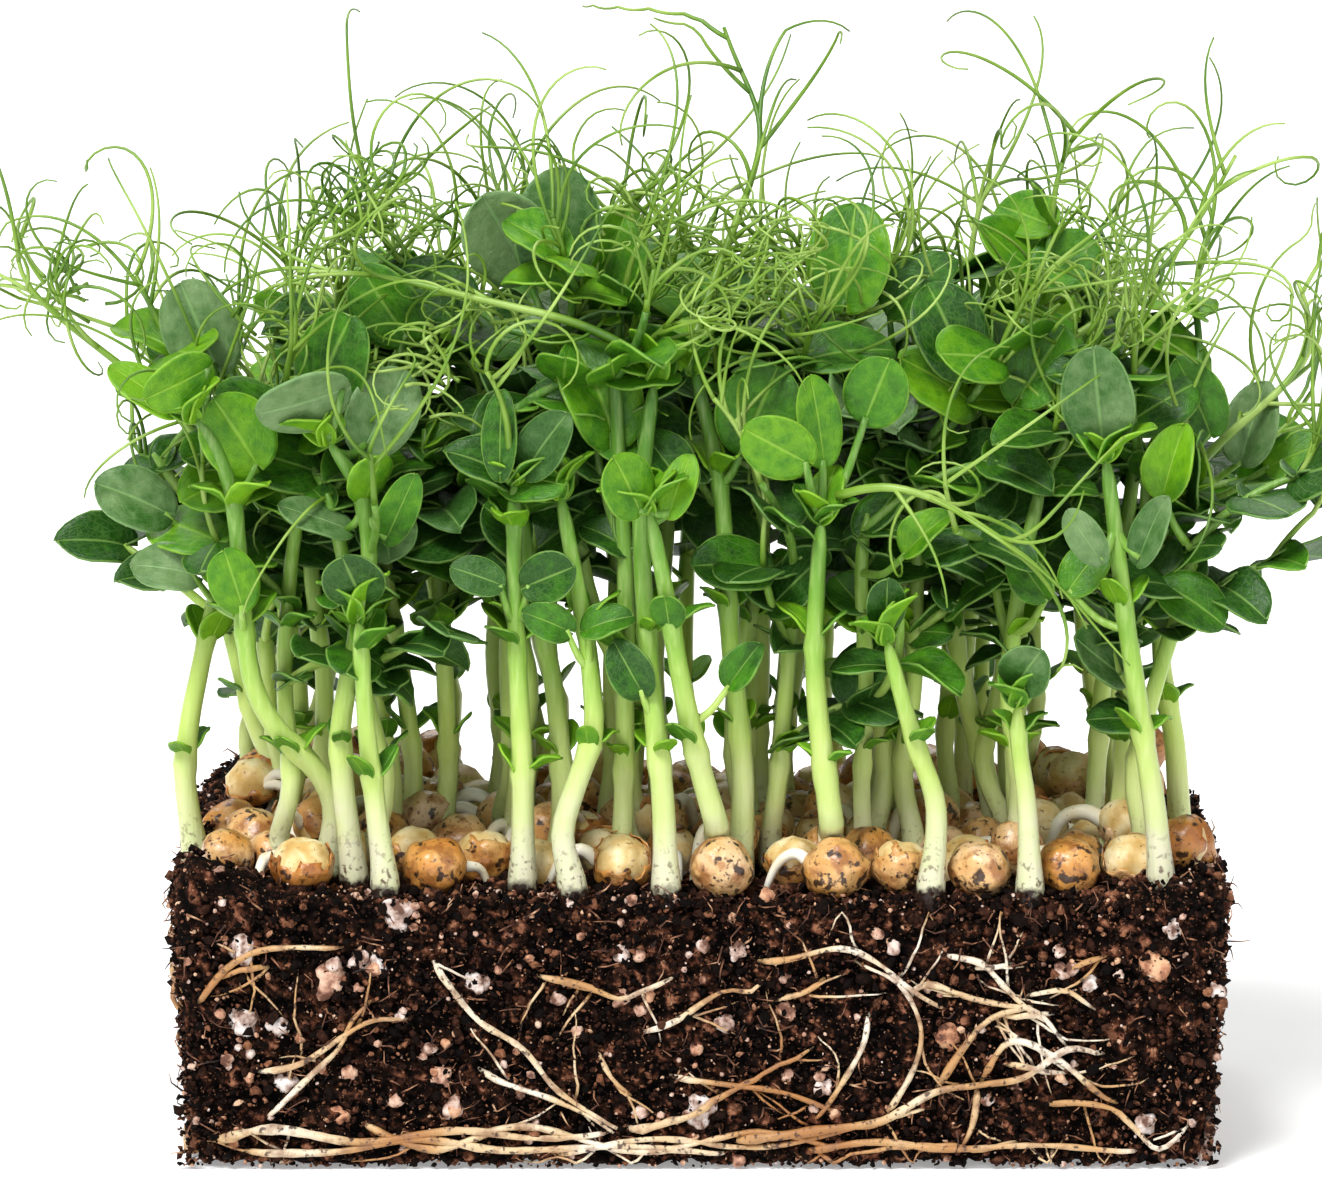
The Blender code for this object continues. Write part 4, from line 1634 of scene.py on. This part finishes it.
def shoot_line(chance, x, y, top):
    """A stem's line. Shoots near the sides lean outwards."""
    lean = Vector((0.11 * x, 0.08 * (y + 5 * MM), 0))
    lean += Vector((chance.gauss(0, 4), chance.gauss(0, 3), 0)) * MM
    ground = HEIGHT + heap(x, y)
    foot = Vector((x + chance.gauss(0, 2) * MM, y + chance.gauss(0, 1.5) * MM, ground - 3 * MM))
    levels = (ground + 4 * MM, ground + 13 * MM, ground + 26 * MM, ground + 42 * MM, top)
    points = [foot]
    for level in levels:
        share = (level - ground) / (top - ground)
        sway = Vector((chance.gauss(0, 1.1), chance.gauss(0, 1.1), 0)) * MM
        points.append(Vector((x, y, level)) + lean * share**1.6 + sway)
    return smooth_line(points, 2.5 * MM)


def leafy_node(chance, line, level, tone):
    """What one upper node bears: leaves and a petiole, with where the petiole ends and which way it
    points, for tendrils.
    """
    point = point_at(line, level)
    out = level_way(chance.uniform(0, math.tau))
    leaves = []
    for turn in (0.5, -0.5):
        way = Quaternion(UP, turn * chance.uniform(0.8, 2.2)) @ out
        along = way + UP * chance.uniform(0.1, 0.9)
        facing = Vector((chance.gauss(0, 0.3), chance.gauss(-0.3, 0.3), 1)) - 0.5 * out
        size = chance.uniform(6, 9.5) * MM
        leaves.append((chance.choice(coarse_leaves), leaf_at(point, along, facing, size), tone))
    rise = UP * chance.uniform(0.5, 1.5)
    stalk = tendril_line(chance, point, out + rise, chance.uniform(11, 20) * MM, 0.02)
    strands = [(stalk, tapered(stalk, 0.75 * MM, 0.5 * MM))]
    way = (stalk[-1] - stalk[-3]).normalized()
    for share in (0.55, 1.0):
        joint = stalk[round(share * (len(stalk) - 1))]
        for turn in (1, -1):
            upright = Vector((chance.gauss(0, 0.3), chance.gauss(0, 0.3), 1))
            side = way.cross(upright).normalized() * turn
            along = side + way * chance.uniform(0.2, 0.9)
            facing = Vector((chance.gauss(0, 0.4), chance.gauss(-0.55, 0.4), 0.9))
            size = chance.uniform(8, 12.5) * MM
            matrix = leaf_at(joint, along, facing, size)
            leaves.append((chance.choice(coarse_leaves), matrix, tone + chance.gauss(0, 0.08)))
    return leaves, strands, stalk[-1], way


chance = random.Random(77)
back_stems = []
groups = [spots_in_row(chance, *row) for row in ROWS]
groups.append([(x * MM, y * MM, top * MM) for x, y, top in GAP_FILLERS])
for row, spots in enumerate(groups, 1):
    stems, leaves, tendrils = [], [], []
    for x, y, tip in spots:
        line = shoot_line(chance, x, y, tip)
        tone = chance.choice(SHOOT_TONES)
        nodes = [HEIGHT + heap(x, y) + step * NODE_SPACING for step in (0.9, 1.9)]
        radii = stem_radii(line, chance.uniform(1.45, 1.8) * MM, 0.95 * MM, nodes)
        stems.append((line, radii))
        for level, smallest in zip(nodes, (3.2 * MM, 4.8 * MM)):
            bracts.extend(bract_pair(chance, line, level, smallest))
        back_stems.append(line)
        for below, strands in LEAFY_NODES:
            # Painted shade: the lower the node, the darker its leaves.
            shaded = tone + (PAINTED_SHADE_TONE - tone) * below / PAINTED_SHADE_DEPTH
            grown, stalks, end, way = leafy_node(chance, line, tip - below * MM, shaded)
            for leaf in grown:
                if FRONT_LIMIT < leaf[1].translation.y < BACK_LIMIT:
                    leaves.append(leaf)
            stems.extend(stalks)
            if strands:
                length = chance.uniform(5, 14) * MM
                tendrils.extend(tendril_fan(chance, end, way + 1.2 * UP, length, strands, 42 * MM))
    add_strands(f"row_{row}_stems", stems, 2, stem_material, "stem")
    add_leaves(f"row_{row}_leaves", leaves)
    add_strands(f"row_{row}_tendrils", tendrils, 1, tendril_material, "tendril")
    print(f"row {row}:", len(stems), "stems and stalks,", len(leaves), "leaves")

# %% [markdown]
# ## Leaves that stand out
# A few more leaves in front and along the top give the crop its outline. Each one's place is
# listed, and a petiole ties it to the nearest stem below it.

# %% Place the leaves that stand out
OUTSTANDING = (
    # x, y and z of the base, and the length, in mm, then the lean in degrees and the tone
    (-20, -24, 120, 15, 6, 0.75),
    (-24, -20, 121, 13, -28, 0.95),
    (-15, -18, 116, 14, 24, 0.2),
    (-32, -18, 116, 11, -70, 0.45),
    (-40, -22, 112, 11, -35, 0.3),
    (20, -24, 117, 13, 4, 0.2),
    (26, -20, 115, 11, 42, 0.4),
    (36, -26, 108, 12, -20, 0.45),
    (44, -24, 104, 11, 35, 0.3),
    (75, -10, 93, 11, 12, 0.9),
    (79, -8, 92, 9, 62, 0.15),
    (63, -32, 91, 10, 12, 0.1),
    (70, -20, 98, 11, -20, 0.35),
    (-62, -38, 77, 8, -15, 0.2),
    (-27, -40, 80, 7, -68, 0.6),
    (-23, -40, 80, 7.5, 66, 0.5),
    (4, -39, 66, 7, 32, 0.4),
    (-8, -42, 66, 7, -28, 0.5),
    (-18, -41, 74, 6, -62, 0.4),
    (-15, -41, 74, 6, 60, 0.35),
    (-69, -30, 80, 8, -72, 0.9),
    (-73, -26, 88, 10, -60, 0.85),
    (-60, -36, 96, 11, -30, 0.15),
    (-52, -30, 104, 13, 18, 0.35),
    (-66, -24, 108, 12, -22, 0.9),
    (-2, -36, 92, 10, -30, 0.5),
    (6, -34, 98, 12, 22, 0.3),
    (-12, -34, 100, 13, -15, 0.25),
    (28, -38, 84, 8, 38, 0.2),
    (47, -38, 78, 8, -38, 0.3),
    (50, -38, 79, 8, 36, 0.25),
)

chance = random.Random(6)
outstanding = []
for x, y, z, length, lean, tone in OUTSTANDING:
    base = Vector((x, y, z)) * MM
    swing = math.radians(lean)
    along = Vector((math.sin(swing), chance.uniform(-0.45, 0.1), math.cos(swing)))
    facing = Vector((chance.gauss(0, 0.25), -1.0, chance.uniform(0.1, 0.9)))
    matrix = leaf_at(base, along, facing, length * MM)
    outstanding.append((chance.choice(fine_leaves), matrix, tone))
    joint = nearest_on(front_stems + back_stems, base, 4 * MM)
    petioles.append(petiole(joint, base, 0.65 * MM, 0.42 * MM))
add_leaves("outstanding_leaves", outstanding)
print("leaves that stand out:", len(outstanding))

add_strands("petioles", petioles, 2, stem_material, "stem")
add_leaves("scale_leaves", bracts)
print("petioles:", len(petioles), "scale leaves:", len(bracts))
